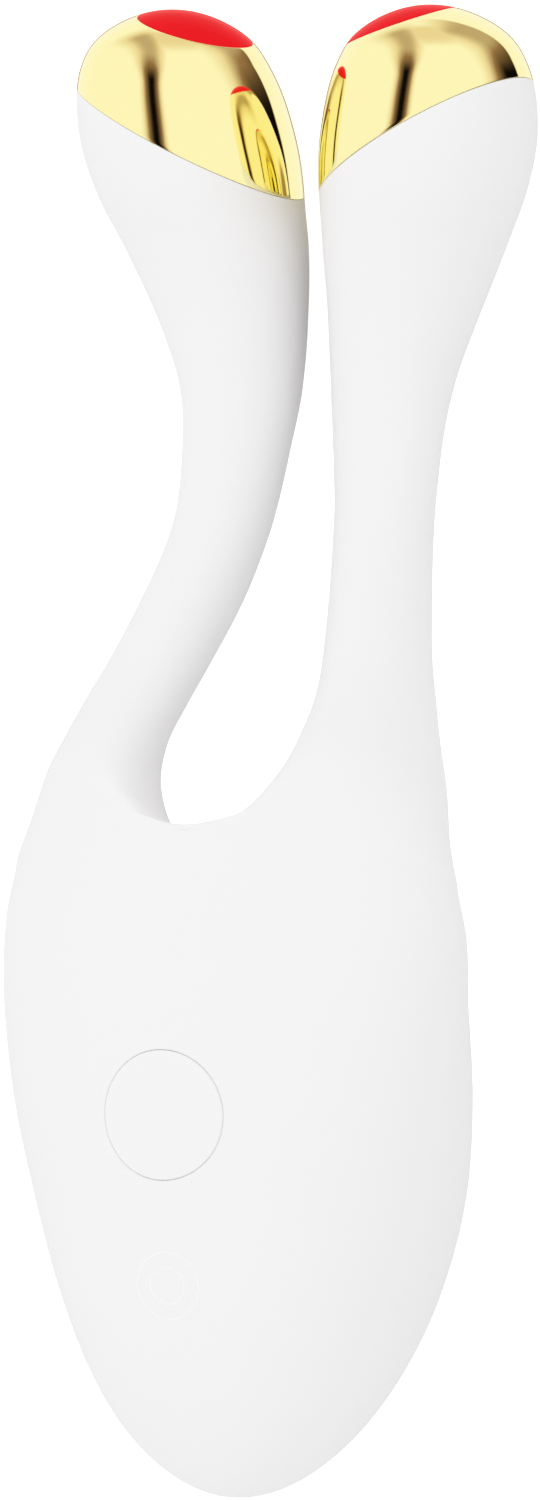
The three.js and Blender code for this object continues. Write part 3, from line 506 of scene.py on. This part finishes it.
def crossed(first, second):
    return first[..., 0] * second[..., 1] - first[..., 1] * second[..., 0]


class Spot:
    """A round place on the handle, seen along its own axis."""

    def __init__(self, size, middle, axis, up, share, angle):
        self.size = size
        self.middle = np.array(middle, dtype=float)
        self.axis = np.array(axis, dtype=float) / np.linalg.norm(axis)
        self.up = np.array(up, dtype=float)
        self.across = np.array([1.0, 0.0, 0.0])
        self.share = share
        self.angle = angle

    def flat(self, points):
        """Places across and up, seen along the axis."""
        away = points - self.middle
        return np.stack([away @ self.across, away @ self.up], axis=-1)

    def surface(self, wanted, share, angle):
        """The handle's surface behind places across and up, found from nearby guesses."""
        share, angle = share.copy(), angle.copy()
        small = 1e-5
        for _ in range(SURFACE_TRIES):
            here = self.flat(handle_points(self.size, share, angle))
            by_share = (self.flat(handle_points(self.size, share + small, angle)) - here) / small
            by_angle = (self.flat(handle_points(self.size, share, angle + small)) - here) / small
            miss = wanted - here
            area = crossed(by_share, by_angle)
            d_share = crossed(miss, by_angle) / area
            d_angle = crossed(by_share, miss) / area
            share = np.clip(share + np.clip(d_share, -SHARE_STEP, SHARE_STEP), *HOLE_SHARES)
            angle = angle + np.clip(d_angle, -ANGLE_STEP, ANGLE_STEP)
        return handle_points(self.size, share, angle)

    def circle(self, radius, turns):
        """Surface points on a circle, by turns from the up direction towards across."""
        wanted = np.stack([np.sin(turns) * radius, np.cos(turns) * radius], axis=-1)
        share = np.full(turns.shape, self.share)
        angle = np.full(turns.shape, self.angle)
        return self.surface(wanted, share, angle)


def front_spot(size, place):
    share = place / size.length
    middle = handle_points(size, share, 0.0)
    return Spot(size, middle, (0, 0, 1), (0, 1, 0), share, POLE_ANGLE)


def seat_spot(size):
    back = Matrix.Rotation(-size.turn, 3, "X")
    axis = back @ Vector(charging["axis"])
    middle = back @ (Vector(charging["pos_m"]) - Vector(size.shift))
    up = Vector((1, 0, 0)).cross(axis)
    if up.y < 0:
        up.negate()
    return Spot(size, middle, axis, up, SEAT_SHARE, math.pi - POLE_ANGLE)


def rolled_rim(spot, radius, roll, depth, turns, inward):
    """Rows that roll the surface over at a circle and down along the axis. Inward is 1 for a hole
    and -1 for what stands in it."""
    rows = []
    for turned in np.linspace(0, math.pi / 2, ROLL_STEPS + 1)[1:]:
        rim = spot.circle(radius + inward * roll * (1 - math.sin(turned)), turns)
        rows.append(rim - spot.axis * roll * (1 - math.cos(turned)))
    rows.append(rows[-1] - spot.axis * depth)
    return rows


def hole_patch(spot, path_share, path_angle, radius, roll, depth):
    """From a path of grid points round a place to a circle there, rolled into a hole."""
    path = handle_points(spot.size, path_share, path_angle)
    away = spot.flat(path)
    turns = np.linspace(0, math.pi, len(path_share))
    rim = radius + roll
    circle = np.stack([np.sin(turns) * rim, np.cos(turns) * rim], axis=-1)
    rows = [path]
    for u in np.linspace(0, 1, PATCH_STEPS + 1)[1:]:
        eased = 1 - (1 - u) ** PATCH_EASE
        wanted = away * (1 - eased) + circle * eased
        share = path_share + (spot.share - path_share) * eased * 0.5
        rows.append(spot.surface(wanted, share, path_angle))
    rows += rolled_rim(spot, radius, roll, depth, turns, 1)
    return np.array(rows)


# Pieces


def grid_parts(detail, rings):
    """The angles round a head, and even steps along it."""
    ring = np.linspace(0, 2 * math.pi, 2 * detail.half_around + 1)
    return ring, np.linspace(0, 1, rings + 1)[:, None]


def skin_sheets(size, detail):
    """Sheets of the skin's right half: the handle with its two holes, and the arm with its edge."""
    half = detail.half_around
    angles = np.linspace(0, math.pi, half + 1)
    evenly = np.arange(detail.handle_rings + 1) / detail.handle_rings
    shares = CROTCH * (1 - (1 - evenly**TIP_CROWDING) ** CROTCH_CROWDING)
    shares[0] = TIP_SHARE
    grid = handle_points(size, shares[:, None], angles[None, :])
    parts = []
    kept = np.ones((len(shares) - 1, half), dtype=bool)
    button, seat = front_spot(size, size.button_place), seat_spot(size)
    hole = size.button_radius + size.groove / 2
    for spot, radius, roll, depth, front in (
        (button, hole, size.groove_roll, GROOVE_WALL, True),
        (seat, *SEAT_HOLE.values(), False),
    ):
        room = radius * HOLE_ROOM
        out = spot.flat(grid)
        order = np.arange(half + 1)[:: 1 if front else -1]
        facing = (grid[:, order[0]] - spot.middle) @ spot.axis > -SAME_SIDE
        rows = np.nonzero((np.abs(out[:, order[0], 1]) < room) & facing)[0]
        first, last = max(rows.min() - 1, 1), rows.max() + 1
        widths = np.abs(out[(first + last) // 2, order, 0])
        columns = order[: np.argmax(widths > room) + 1]
        kept[first:last, columns.min() : columns.max()] = False
        up = [(last, k) for k in columns]
        down = [(first, k) for k in columns[::-1]]
        side = [(r, columns[-1]) for r in range(last - 1, first, -1)]
        path = np.array(up + side + down)
        patch = hole_patch(spot, shares[path[:, 0]], angles[path[:, 1]], radius, roll, depth)
        parts.append(sheet("patch", lie(size, patch)))
    handle = sheet("handle", lie(size, grid))
    drop_faces(handle, ~kept)
    parts.append(handle)

    plane = head_plane(size, size.cap_place, size.cap_slope, 0.0)
    ring, even = grid_parts(detail, detail.arm_rings)
    edge = steps_to_plane(size, plane, -size.seam - SKIN_ROLL, ring)
    steps = even * edge.mean() + (edge - edge.mean())[None, :] * even**4
    arm = arm_points(size, arm_share(steps, ring[None, :]), ring[None, :])
    lip = edge_roll(size, plane, -1, SKIN_ROLL, size.wall, ring)
    parts.append(sheet("arm", lie(size, np.concatenate([arm, lip]))))
    return parts


def choose_faces(obj, chosen):
    """Goes into edit mode with only the chosen faces selected."""
    pick(obj)
    bpy.ops.object.mode_set(mode="EDIT")
    bpy.ops.mesh.select_mode(type="FACE")
    bpy.ops.mesh.select_all(action="DESELECT")
    bpy.ops.object.mode_set(mode="OBJECT")
    obj.data.polygons.foreach_set("select", chosen)
    bpy.ops.object.mode_set(mode="EDIT")


def drop_faces(obj, dropped):
    choose_faces(obj, dropped.reshape(-1))
    bpy.ops.mesh.delete(type="FACE")
    bpy.ops.object.mode_set(mode="OBJECT")


class MASSAGER_OT_skin(bpy.types.Operator):
    """Lofts the silicone skin over the handle and both arms"""

    bl_idname = "massager.skin"
    bl_label = "Silicone Skin"

    def execute(self, context):
        size = context.scene.massager_sizes
        skin = join(skin_sheets(size, context.scene.massager_detail), "silicone_skin_fine")
        apply_modifier(skin, "MIRROR", use_clip=True, merge_threshold=MIRROR_WELD)
        weld_up(skin)
        apply_modifier(skin, "SOLIDIFY", thickness=size.wall, offset=-1)
        clothe(skin, silicone_material(), "device", "silicone_skin")
        return {"FINISHED"}


class MASSAGER_OT_button(bpy.types.Operator):
    """Models the round face of the power button, level with the skin"""

    bl_idname = "massager.button"
    bl_label = "Button Face"

    def execute(self, context):
        size = context.scene.massager_sizes
        spot = front_spot(size, size.button_place)
        turns = np.linspace(0, 2 * math.pi, BUTTON_TURNS + 1)
        radius = size.button_radius - size.groove / 2
        roll = size.groove_roll / 2
        reaches = np.linspace(0, radius - roll, BUTTON_RINGS + 1)
        rows = [spot.circle(max(reach, CLOSED), turns) for reach in reaches]
        rows += rolled_rim(spot, radius, roll, BUTTON_WALL, turns, -1)
        foot = spot.circle(radius + size.groove - WEB_ROOM, turns) - spot.axis * size.groove_depth
        rows += [rows[-1] * (1 - share) + foot * share for share in SIDE_SHARES]
        floor = foot - spot.axis * WEB_DEPTH
        centre = floor.mean(axis=0)
        rows += [centre + (floor - centre) * share for share in FLOOR_SHARES]
        button = join([sheet("button", lie(size, np.array(rows)))], "button_face")
        clothe(button, silicone_material(), "button", "button_cap")
        return {"FINISHED"}


class MASSAGER_OT_mark(bpy.types.Operator):
    """Lays two plain printed rings on the skin below the button"""

    bl_idname = "massager.mark"
    bl_label = "Printed Rings"

    def execute(self, context):
        size = context.scene.massager_sizes
        spot = front_spot(size, size.mark_place)
        turns = np.linspace(0, 2 * math.pi, PRINT_TURNS + 1)
        parts = []
        for radius in (size.mark_radius, size.mark_radius * PRINT_INNER):
            rows = []
            for away, raised in PRINT_SECTION:
                ring = spot.circle(radius + away * PRINT_HALF_WIDTH, turns)
                rows.append(ring + spot.axis * raised * PRINT_HEIGHT)
            parts.append(sheet("ring", lie(size, np.array(rows))))
        mark = join(parts, "printed_rings")
        clothe(mark, plain_material("white_print"), "device")
        return {"FINISHED"}


def head_pair(size, points, name, weld=WELD):
    """The right head's piece with its wall, and the left one mirrored from it."""
    right = join([sheet(name, lie(size, points))], f"right_{name}", weld)
    apply_modifier(right, "SOLIDIFY", thickness=size.wall, offset=-1)
    return (("right", right), ("left", mirrored_copy(right, f"left_{name}")))


class MASSAGER_OT_head_caps(bpy.types.Operator):
    """Lofts the two gold-plated head caps between the skin and the windows"""

    bl_idname = "massager.head_caps"
    bl_label = "Head Caps"

    def execute(self, context):
        size, detail = context.scene.massager_sizes, context.scene.massager_detail
        low = head_plane(size, size.cap_place, size.cap_slope, 0.0)
        high = head_plane(size, size.window_place, size.window_slope, size.window_lean)
        ring, even = grid_parts(detail, detail.cap_rings)
        foot = edge_roll(size, low, 1, CAP_ROLL, size.wall, ring)[::-1]
        start = steps_to_plane(size, low, size.seam + CAP_ROLL, ring)
        end = steps_to_plane(size, high, -size.seam - CAP_ROLL, ring)
        middle = arm_points(size, arm_share(start + (end - start) * even), ring[None, :])
        top = edge_roll(size, high, -1, CAP_ROLL, size.wall, ring)
        points = np.concatenate([foot, middle, top])
        for side, cap in head_pair(size, points, "cap_plated"):
            clothe(cap, gold_material(), "device", f"{side}_head_cap")
        return {"FINISHED"}


class MASSAGER_OT_windows(bpy.types.Operator):
    """Lofts the two red light windows at the crowns of the heads"""

    bl_idname = "massager.windows"
    bl_label = "Light Windows"

    def execute(self, context):
        size, detail = context.scene.massager_sizes, context.scene.massager_detail
        plane = head_plane(size, size.window_place, size.window_slope, size.window_lean)
        ring, even = grid_parts(detail, detail.window_rings)
        foot = edge_roll(size, plane, 1, CAP_ROLL, size.wall, ring)[::-1]
        start = steps_to_plane(size, plane, size.seam + CAP_ROLL, ring)
        dome = arm_points(size, arm_share(start + (1 - start) * even), ring[None, :])
        points = np.concatenate([foot, dome])
        for side, window in head_pair(size, points, "window_clear", WINDOW_WELD):
            clothe(window, window_material(), "device", f"{side}_light_window")
        return {"FINISHED"}


class MASSAGER_OT_charging(bpy.types.Operator):
    """Models the round charging seat and its two contacts on the back"""

    bl_idname = "massager.charging"
    bl_label = "Charging Seat"

    def execute(self, context):
        place = Vector(charging["pos_m"])
        axis = Vector(charging["axis"])
        turned = axis.to_track_quat("Z", "Y").to_matrix().to_4x4()
        frame_of = Matrix.Translation(place) @ turned
        across = turned.inverted() @ Vector((1, 0, 0))
        heading = math.atan2(across.y, across.x)

        def disc(name, away, radius, thick, lip, step, roll):
            """A round piece with a stepped face. The lip is the ring left round the step."""
            deselect()
            bpy.ops.mesh.primitive_cylinder_add(vertices=DISC_TURNS, radius=radius, depth=thick)
            made = bpy.context.object
            made.name = made.data.name = name
            choose_faces(made, [face.normal.z > 0.5 for face in made.data.polygons])
            bpy.ops.mesh.inset(thickness=lip)
            bpy.ops.mesh.inset(thickness=abs(step), depth=step)
            bpy.ops.mesh.select_all(action="SELECT")
            bpy.ops.transform.translate(value=(away, 0, -thick / 2))
            bpy.ops.object.mode_set(mode="OBJECT")
            apply_modifier(
                made, "BEVEL", width=roll, segments=BEVEL_STEPS, limit_method="ANGLE"
            )
            made.data.transform(frame_of @ Matrix.Rotation(heading, 4, "Z"))
            pick(made)
            bpy.ops.object.shade_smooth_by_angle(angle=math.radians(40))
            return made

        seat = disc("charge_seat_face", 0.0, **SEAT)
        clothe(seat, plain_material("moulded_abs"), "device", "charge_seat")
        for side, sign in (("left", -1), ("right", 1)):
            pin = disc(f"{side}_contact", sign * CONTACT_PLACE, **CONTACT)
            clothe(pin, gold_material(), "device", f"{side}_charge_pin")
        return {"FINISHED"}


# Materials


def math_node(tree, operation, first, second=None, third=None):
    node = tree.nodes.new("ShaderNodeMath")
    node.operation = operation
    for socket, value in zip(node.inputs, (first, second, third)):
        if value is None:
            continue
        if isinstance(value, (int, float)):
            socket.default_value = value
        else:
            tree.links.new(value, socket)
    return node.outputs[0]


def noise(tree, vector, scale, detail, rough):
    node = tree.nodes.new("ShaderNodeTexNoise")
    node.inputs["Detail"].default_value = detail
    node.inputs["Roughness"].default_value = rough
    tree.links.new(vector, node.inputs["Vector"])
    tree.links.new(scale, node.inputs["Scale"])
    return node.outputs["Fac"]


def surface_group():
    """Grain, a slow drift of tone and faint handling marks, all on Object coordinates."""
    found = bpy.data.node_groups.get("moulded_surface")
    if found:
        return found
    tree = bpy.data.node_groups.new("moulded_surface", "ShaderNodeTree")
    for name, value in (
        ("Colour", (0.8, 0.8, 0.8, 1)),
        ("Shade", (0.7, 0.7, 0.7, 1)),
        ("Grain Scale", 2000.0),
        ("Drift Scale", 40.0),
        ("Drift", 0.3),
        ("Roughness", 0.5),
        ("Roughness Spread", 0.1),
    ):
        kind = "NodeSocketFloat" if isinstance(value, float) else "NodeSocketColor"
        socket = tree.interface.new_socket(name=name, in_out="INPUT", socket_type=kind)
        socket.default_value = value
    for name, kind in (("Colour", "Color"), ("Roughness", "Float"), ("Height", "Float")):
        tree.interface.new_socket(name=name, in_out="OUTPUT", socket_type=f"NodeSocket{kind}")
    source = tree.nodes.new("NodeGroupInput").outputs
    result = tree.nodes.new("NodeGroupOutput").inputs
    link = tree.links.new
    place = tree.nodes.new("ShaderNodeTexCoord").outputs["Object"]
    grain = noise(tree, place, source["Grain Scale"], 4.0, 0.6)
    drift = noise(tree, place, source["Drift Scale"], 2.0, 0.4)
    slow = math_node(tree, "MULTIPLY", drift, source["Drift"])
    fine = math_node(tree, "MULTIPLY", grain, source["Drift"])
    mix = tree.nodes.new("ShaderNodeMix")
    mix.data_type = "RGBA"
    link(math_node(tree, "MULTIPLY_ADD", fine, 0.5, slow), mix.inputs["Factor"])
    link(source["Colour"], mix.inputs["A"])
    link(source["Shade"], mix.inputs["B"])
    link(mix.outputs["Result"], result["Colour"])
    centred = math_node(tree, "SUBTRACT", drift, 0.5)
    spread = math_node(tree, "MULTIPLY", centred, source["Roughness Spread"])
    link(math_node(tree, "ADD", spread, source["Roughness"]), result["Roughness"])
    link(grain, result["Height"])
    return tree


def moulded(
    name, colour, shade, grain, drift, amount, rough, spread=0.1, bump=0.1, height=2e-5, even=()
):
    """A material made from the moulded surface, and its shader if it is new. Grain is a size,
    drift says how close the slow drift of tone is, amount how strong, and even holds what is the
    same all over."""
    found = bpy.data.materials.get(name)
    if found:
        return found, None
    made = bpy.data.materials.new(name)
    made.use_nodes = True
    tree = made.node_tree
    shader = tree.nodes["Principled BSDF"]
    group = tree.nodes.new("ShaderNodeGroup")
    group.node_tree = surface_group()
    values = ((*colour, 1), (*shade, 1), 1 / grain, drift, amount, rough, spread)
    for socket, value in zip(group.inputs, values):
        socket.default_value = value
    tree.links.new(group.outputs["Colour"], shader.inputs["Base Color"])
    tree.links.new(group.outputs["Roughness"], shader.inputs["Roughness"])
    lift = tree.nodes.new("ShaderNodeBump")
    lift.inputs["Strength"].default_value = bump
    lift.inputs["Distance"].default_value = height
    tree.links.new(group.outputs["Height"], lift.inputs["Height"])
    tree.links.new(lift.outputs["Normal"], shader.inputs["Normal"])
    for socket, value in even:
        shader.inputs[socket].default_value = value
    return made, shader


def silicone_material():
    finish = bpy.context.scene.massager_finish
    colour = tuple(finish.silicone)
    shade = tuple(c * 0.95 for c in colour)
    even = (("Specular IOR Level", 0.3), ("Sheen Weight", 0.05), ("Sheen Roughness", 0.6))
    values = (finish.grain, 30.0, 0.35, 0.6, 0.08, 0.35, 3e-5, even)
    return moulded("white_silicone_skin", colour, shade, *values)[0]


def gold_material():
    finish = bpy.context.scene.massager_finish
    colour = tuple(finish.gold)
    shade = (colour[0] * 0.985, colour[1] * 0.97, colour[2] * 0.93)
    values = (0.0012, 60.0, 0.4, finish.polish, 0.02, 0.02, 2e-6, (("Metallic", 1.0),))
    return moulded("gold_plating", colour, shade, *values)[0]


# The red windows shine by a painted glow: an emission in the window colour, with no lamp behind it,
# and a base colour that is a small share of it
def window_material():
    painted_glow_red = bpy.context.scene.massager_finish.window
    colour, shade = (tuple(c * share for c in painted_glow_red) for share in (0.12, 0.1))
    # Painted glow: the window's own red emission, and a specular kept very low so that it looks
    # flat
    even = (
        ("Emission Color", (*painted_glow_red, 1)), ("Emission Strength", 0.88), ("Specular IOR Level", 0.01)
    )
    values = (0.0006, 80.0, 0.3, 0.25, 0.05, 0.05, 1e-5, even)
    return moulded("red_light_window", colour, shade, *values)[0]


# Plain materials: colour and shade, size of the grain, how close and how strong the slow drift is,
# roughness and, where they differ from the rest, its spread, the grain's bump and height, and what
# is the same all over
PLAIN = {
    "nickel_steel": (
        (0.62, 0.63, 0.65), (0.5, 0.5, 0.51), 0.0002, 120.0, 0.5, 0.28, 0.15, 0.2, 1e-5,
        (("Metallic", 1.0),),
    ),
    "white_print": ((0.99, 0.99, 0.99), (0.97, 0.97, 0.97), 0.0004, 90.0, 0.3, 0.4),
    "moulded_abs": ((0.8, 0.8, 0.78), (0.72, 0.72, 0.7), 0.0005, 50.0, 0.4, 0.45, 0.1, 0.3),
    "green_circuit_board": (
        (0.02, 0.2, 0.07), (0.05, 0.28, 0.1), 0.001, 300.0, 0.8, 0.35, 0.15, 0.4
    ),
    "natural_nylon": ((0.82, 0.78, 0.68), (0.74, 0.69, 0.58), 0.0006, 60.0, 0.4, 0.5),
    "black_moulding": ((0.03, 0.03, 0.035), (0.05, 0.05, 0.05), 0.0003, 150.0, 0.5, 0.5),
    "grey_foam": ((0.05, 0.05, 0.055), (0.12, 0.12, 0.12), 0.0005, 400.0, 0.8, 0.9, 0.1, 1.0, 1e-4),
    "blue_cell_wrap": ((0.12, 0.2, 0.32), (0.16, 0.26, 0.4), 0.002, 60.0, 0.5, 0.3, 0.15, 0.2),
    "red_lead_cover": ((0.45, 0.03, 0.03), (0.35, 0.02, 0.02), 0.0004, 200.0, 0.4, 0.45),
    "led_lens": ((0.9, 0.85, 0.6), (0.85, 0.75, 0.4), 0.0005, 300.0, 0.5, 0.2),
}


def plain_material(name):
    return moulded(name, *PLAIN[name])[0]


def finish_nodes(names, made):
    for name in names:
        for slot in frame["nodes"][name].material_slots:
            slot.material = made


class MASSAGER_OT_inside(bpy.types.Operator):
    """Finishes the pieces inside: housing, board, cell, cores, carriers, motors and leads"""

    bl_idname = "massager.inside"
    bl_label = "Inner Pieces"

    def execute(self, context):
        both = ("left", "right")
        rows = ("lower", "upper")
        screws = [f"{r}_{s}_{k}_screw" for r in rows for s in both for k in ("shell", "board")]
        drives = [f"{s}_motor_{k}" for s in both for k in ("can", "shaft", "weight")]
        cores = [f"{s}_{k}" for s in both for k in ("arm_core", "head_carrier")]
        boards = [f"{s}_light_board" for s in both]
        plain = {
            "nickel_steel": screws + drives + ["upper_magnet", "lower_magnet"],
            "moulded_abs": ["front_shell", "rear_shell", "button_key", "switch_plunger"],
            "green_circuit_board": boards + ["main_board", "charge_board"],
            "natural_nylon": cores + ["battery_tray", "battery_connector"],
            "black_moulding": ["switch_body", "control_chip", "charge_chip"],
            "grey_foam": ["battery_pad"],
            "blue_cell_wrap": ["battery_cell"],
            "red_lead_cover": ["battery_lead", "charge_lead"] + [f"{s}_arm_lead" for s in both],
            "led_lens": [f"{s}_light_led" for s in both],
        }
        for material_name, names in plain.items():
            finish_nodes(names, plain_material(material_name))
        return {"FINISHED"}


# Stage


def by_ray(tree, kind, other, chosen):
    """One shader for a kind of ray and another for the rest."""
    path = tree.nodes.new("ShaderNodeLightPath")
    choice = tree.nodes.new("ShaderNodeMixShader")
    tree.links.new(path.outputs[kind], choice.inputs["Fac"])
    tree.links.new(other.outputs[0], choice.inputs[1])
    tree.links.new(chosen.outputs[0], choice.inputs[2])
    return choice


def floor_material():
    """Pale and matt, and white to the camera, with the object's shadow kept."""
    made, shader = moulded(
        "pale_floor", (0.92, 0.92, 0.92), (0.9, 0.9, 0.9), 0.01, 3.0, 0.3, 0.9, 0.05, 0.05
    )
    if shader:
        tree = made.node_tree
        glow, dark = (tree.nodes.new("ShaderNodeEmission") for _ in range(2))
        glow.inputs["Strength"].default_value = 0.75
        dark.inputs["Strength"].default_value = 0.0
        total = tree.nodes.new("ShaderNodeAddShader")
        tree.links.new(shader.outputs[0], total.inputs[0])
        tree.links.new(by_ray(tree, "Is Camera Ray", dark, glow).outputs[0], total.inputs[1])
        end = next(n for n in tree.nodes if n.type == "OUTPUT_MATERIAL")
        tree.links.new(total.outputs[0], end.inputs["Surface"])
    return made


def along(tree, vector, direction):
    """How far a direction points along another one."""
    dot = tree.nodes.new("ShaderNodeVectorMath")
    dot.operation = "DOT_PRODUCT"
    tree.links.new(vector, dot.inputs[0])
    dot.inputs[1].default_value = direction
    return dot.outputs["Value"]


def fade(tree, value, low, high, start, end):
    """Runs softly from start to end while the value runs from low to high."""
    ramp = tree.nodes.new("ShaderNodeMapRange")
    ramp.interpolation_type = "SMOOTHSTEP"
    tree.links.new(value, ramp.inputs["Value"])
    for name, number in zip(("From Min", "From Max", "To Min", "To Max"), (low, high, start, end)):
        ramp.inputs[name].default_value = number
    return ramp.outputs["Result"]


def product(tree, first, *others):
    for other in others:
        first = math_node(tree, "MULTIPLY", first, other)
    return first


def studio_world(right, up, towards):
    """A white studio. Polished metal sees soft boxes in front, a dark slot between them, a dark
    strip beside the white backdrop and a dim line right behind the device."""
    world = bpy.context.scene.world or bpy.data.worlds.new("studio")
    bpy.context.scene.world = world
    world.use_nodes = True
    tree = world.node_tree
    tree.nodes.clear()
    link = tree.links.new
    place = tree.nodes.new("ShaderNodeTexCoord").outputs["Generated"]
    side, height, front = (along(tree, place, direction) for direction in (right, up, towards))

    leaning = math_node(tree, "MULTIPLY_ADD", height, -0.14, side)
    from_slot = math_node(tree, "ABSOLUTE", math_node(tree, "ADD", leaning, 0.53))
    reach = fade(tree, height, 0.2, 0.8, 0.2, 0.32)
    slot = product(
        tree,
        fade(tree, math_node(tree, "DIVIDE", from_slot, reach), 0.08, 1.1, 1, 0),
        fade(tree, height, 0.3, 0.75, 1, 0.5),
        fade(tree, front, -0.55, -0.1, 0, 1),
    )
    strip = product(
        tree,
        fade(tree, front, -0.5, -0.45, 0, 1),
        fade(tree, front, -0.15, 0.55, 1, 0),
        fade(tree, height, 0.25, 0.75, 1, 0.5),
        fade(tree, side, -0.2, 0.3, 0, 1),
    )
    crown = product(
        tree,
        fade(tree, height, 0.75, 0.98, 0, 0.3),
        fade(tree, front, -0.4, -0.1, 0, 1),
    )
    behind = fade(tree, front, -0.985, -0.93, 0.6, 0)
    covered = slot
    for cover in (strip, crown, behind):
        covered = math_node(tree, "MAXIMUM", covered, cover)
    tone = tree.nodes.new("ShaderNodeValToRGB")
    stops = tone.color_ramp.elements
    stops[0].position, stops[0].color = 0.0, (1.0, 0.99, 0.95, 1)
    stops[1].position, stops[1].color = 1.0, (0.004, 0.003, 0.002, 1)
    for position, colour in ((0.3, (0.84, 0.72, 0.55, 1)), (0.65, (0.3, 0.18, 0.1, 1))):
        stops.new(position).color = colour
    link(covered, tone.inputs["Fac"])

    boxes, soft, white = (tree.nodes.new("ShaderNodeBackground") for _ in range(3))
    link(tone.outputs["Color"], boxes.inputs["Color"])
    link(fade(tree, front, -0.8, 0.8, 0.9, 0.945), soft.inputs["Strength"])
    for plain in (soft, white):
        plain.inputs["Color"].default_value = (1, 1, 1, 1)
    shiny = by_ray(tree, "Is Glossy Ray", soft, boxes)
    end = tree.nodes.new("ShaderNodeOutputWorld")
    link(by_ray(tree, "Is Camera Ray", shiny, white).outputs[0], end.inputs["Surface"])


class MASSAGER_OT_stage(bpy.types.Operator):
    """Sets the floor, the light and the camera"""

    bl_idname = "massager.stage"
    bl_label = "Stage"

    def execute(self, context):
        size = context.scene.massager_sizes
        stage = context.scene.massager_stage
        deselect()
        bpy.ops.mesh.primitive_grid_add(
            x_subdivisions=FLOOR_FACES, y_subdivisions=FLOOR_FACES, size=stage.floor_side
        )
        floor = bpy.context.object
        floor.name = "floor"
        floor.data.transform(Matrix.Translation((0, 0, -FLOOR_GAP)))
        floor.data.materials.append(floor_material())
        floor.visible_glossy = False

        turned = Matrix.Rotation(size.turn, 3, "X")
        aim = turned @ Vector(stage.view_middle) + Vector(size.shift)
        towards = turned @ Vector((math.sin(stage.view_turn), 0, math.cos(stage.view_turn)))
        up = turned @ Vector((0, 1, 0))
        right = up.cross(towards)
        facing = Matrix((right, up, towards)).transposed().to_4x4()
        data = bpy.data.cameras.new("camera")
        data.sensor_fit = "VERTICAL"
        data.sensor_height = FILM
        data.lens = data.sensor_height * stage.view_distance / stage.view_height
        data.clip_end = VIEW_END
        camera = bpy.data.objects.new("camera", data)
        camera.matrix_world = Matrix.Translation(aim + towards * stage.view_distance) @ facing
        context.scene.collection.objects.link(camera)
        context.scene.camera = camera

        lamp = bpy.data.lights.new("side_box", "AREA")
        lamp.shape = "RECTANGLE"
        lamp.size, lamp.size_y = LAMP_SIDES
        lamp.energy = LAMP_POWER
        lamp.color = (1.0, 0.99, 0.98)
        box = bpy.data.objects.new("side_box", lamp)
        out, front, high = LAMP_PLACE
        spot = aim + right * out + towards * front + up * high
        facing_device = (spot - aim).to_track_quat("Z", "Y").to_matrix().to_4x4()
        box.matrix_world = Matrix.Translation(spot) @ facing_device
        context.scene.collection.objects.link(box)
        box.visible_glossy = False
        studio_world(right, up, towards)
        context.scene.view_settings.view_transform = "Standard"
        return {"FINISHED"}


class MASSAGER_PT_panel(bpy.types.Panel):
    """Lists the steps that build the massager"""

    bl_idname = "MASSAGER_PT_panel"
    bl_label = "Facial Massager"
    bl_space_type = "VIEW_3D"
    bl_region_type = "UI"
    bl_category = "Massager"

    def draw(self, context):
        for step in STEPS:
            self.layout.operator(step.bl_idname)
        for name in GROUPS:
            group = getattr(context.scene, name)
            box = self.layout.box()
            for key in group.__annotations__:
                box.prop(group, key)


GROUPS = {
    "massager_sizes": MassagerSizes,
    "massager_detail": MassagerDetail,
    "massager_finish": MassagerFinish,
    "massager_stage": MassagerStage,
}
STEPS = (
    MASSAGER_OT_skin,
    MASSAGER_OT_button,
    MASSAGER_OT_mark,
    MASSAGER_OT_head_caps,
    MASSAGER_OT_windows,
    MASSAGER_OT_charging,
    MASSAGER_OT_inside,
    MASSAGER_OT_stage,
)


def register():
    for item in (*GROUPS.values(), *STEPS, MASSAGER_PT_panel):
        bpy.utils.register_class(item)
    for name, group in GROUPS.items():
        setattr(bpy.types.Scene, name, PointerProperty(type=group))


def unregister():
    for name in GROUPS:
        delattr(bpy.types.Scene, name)
    for item in (MASSAGER_PT_panel, *reversed(STEPS), *GROUPS.values()):
        bpy.utils.unregister_class(item)


def main():
    register()
    bpy.ops.massager.skin()
    bpy.ops.massager.button()
    bpy.ops.massager.mark()
    bpy.ops.massager.head_caps()
    bpy.ops.massager.windows()
    bpy.ops.massager.charging()
    bpy.ops.massager.inside()
    bpy.ops.massager.stage()


if __name__ == "__main__":
    main()
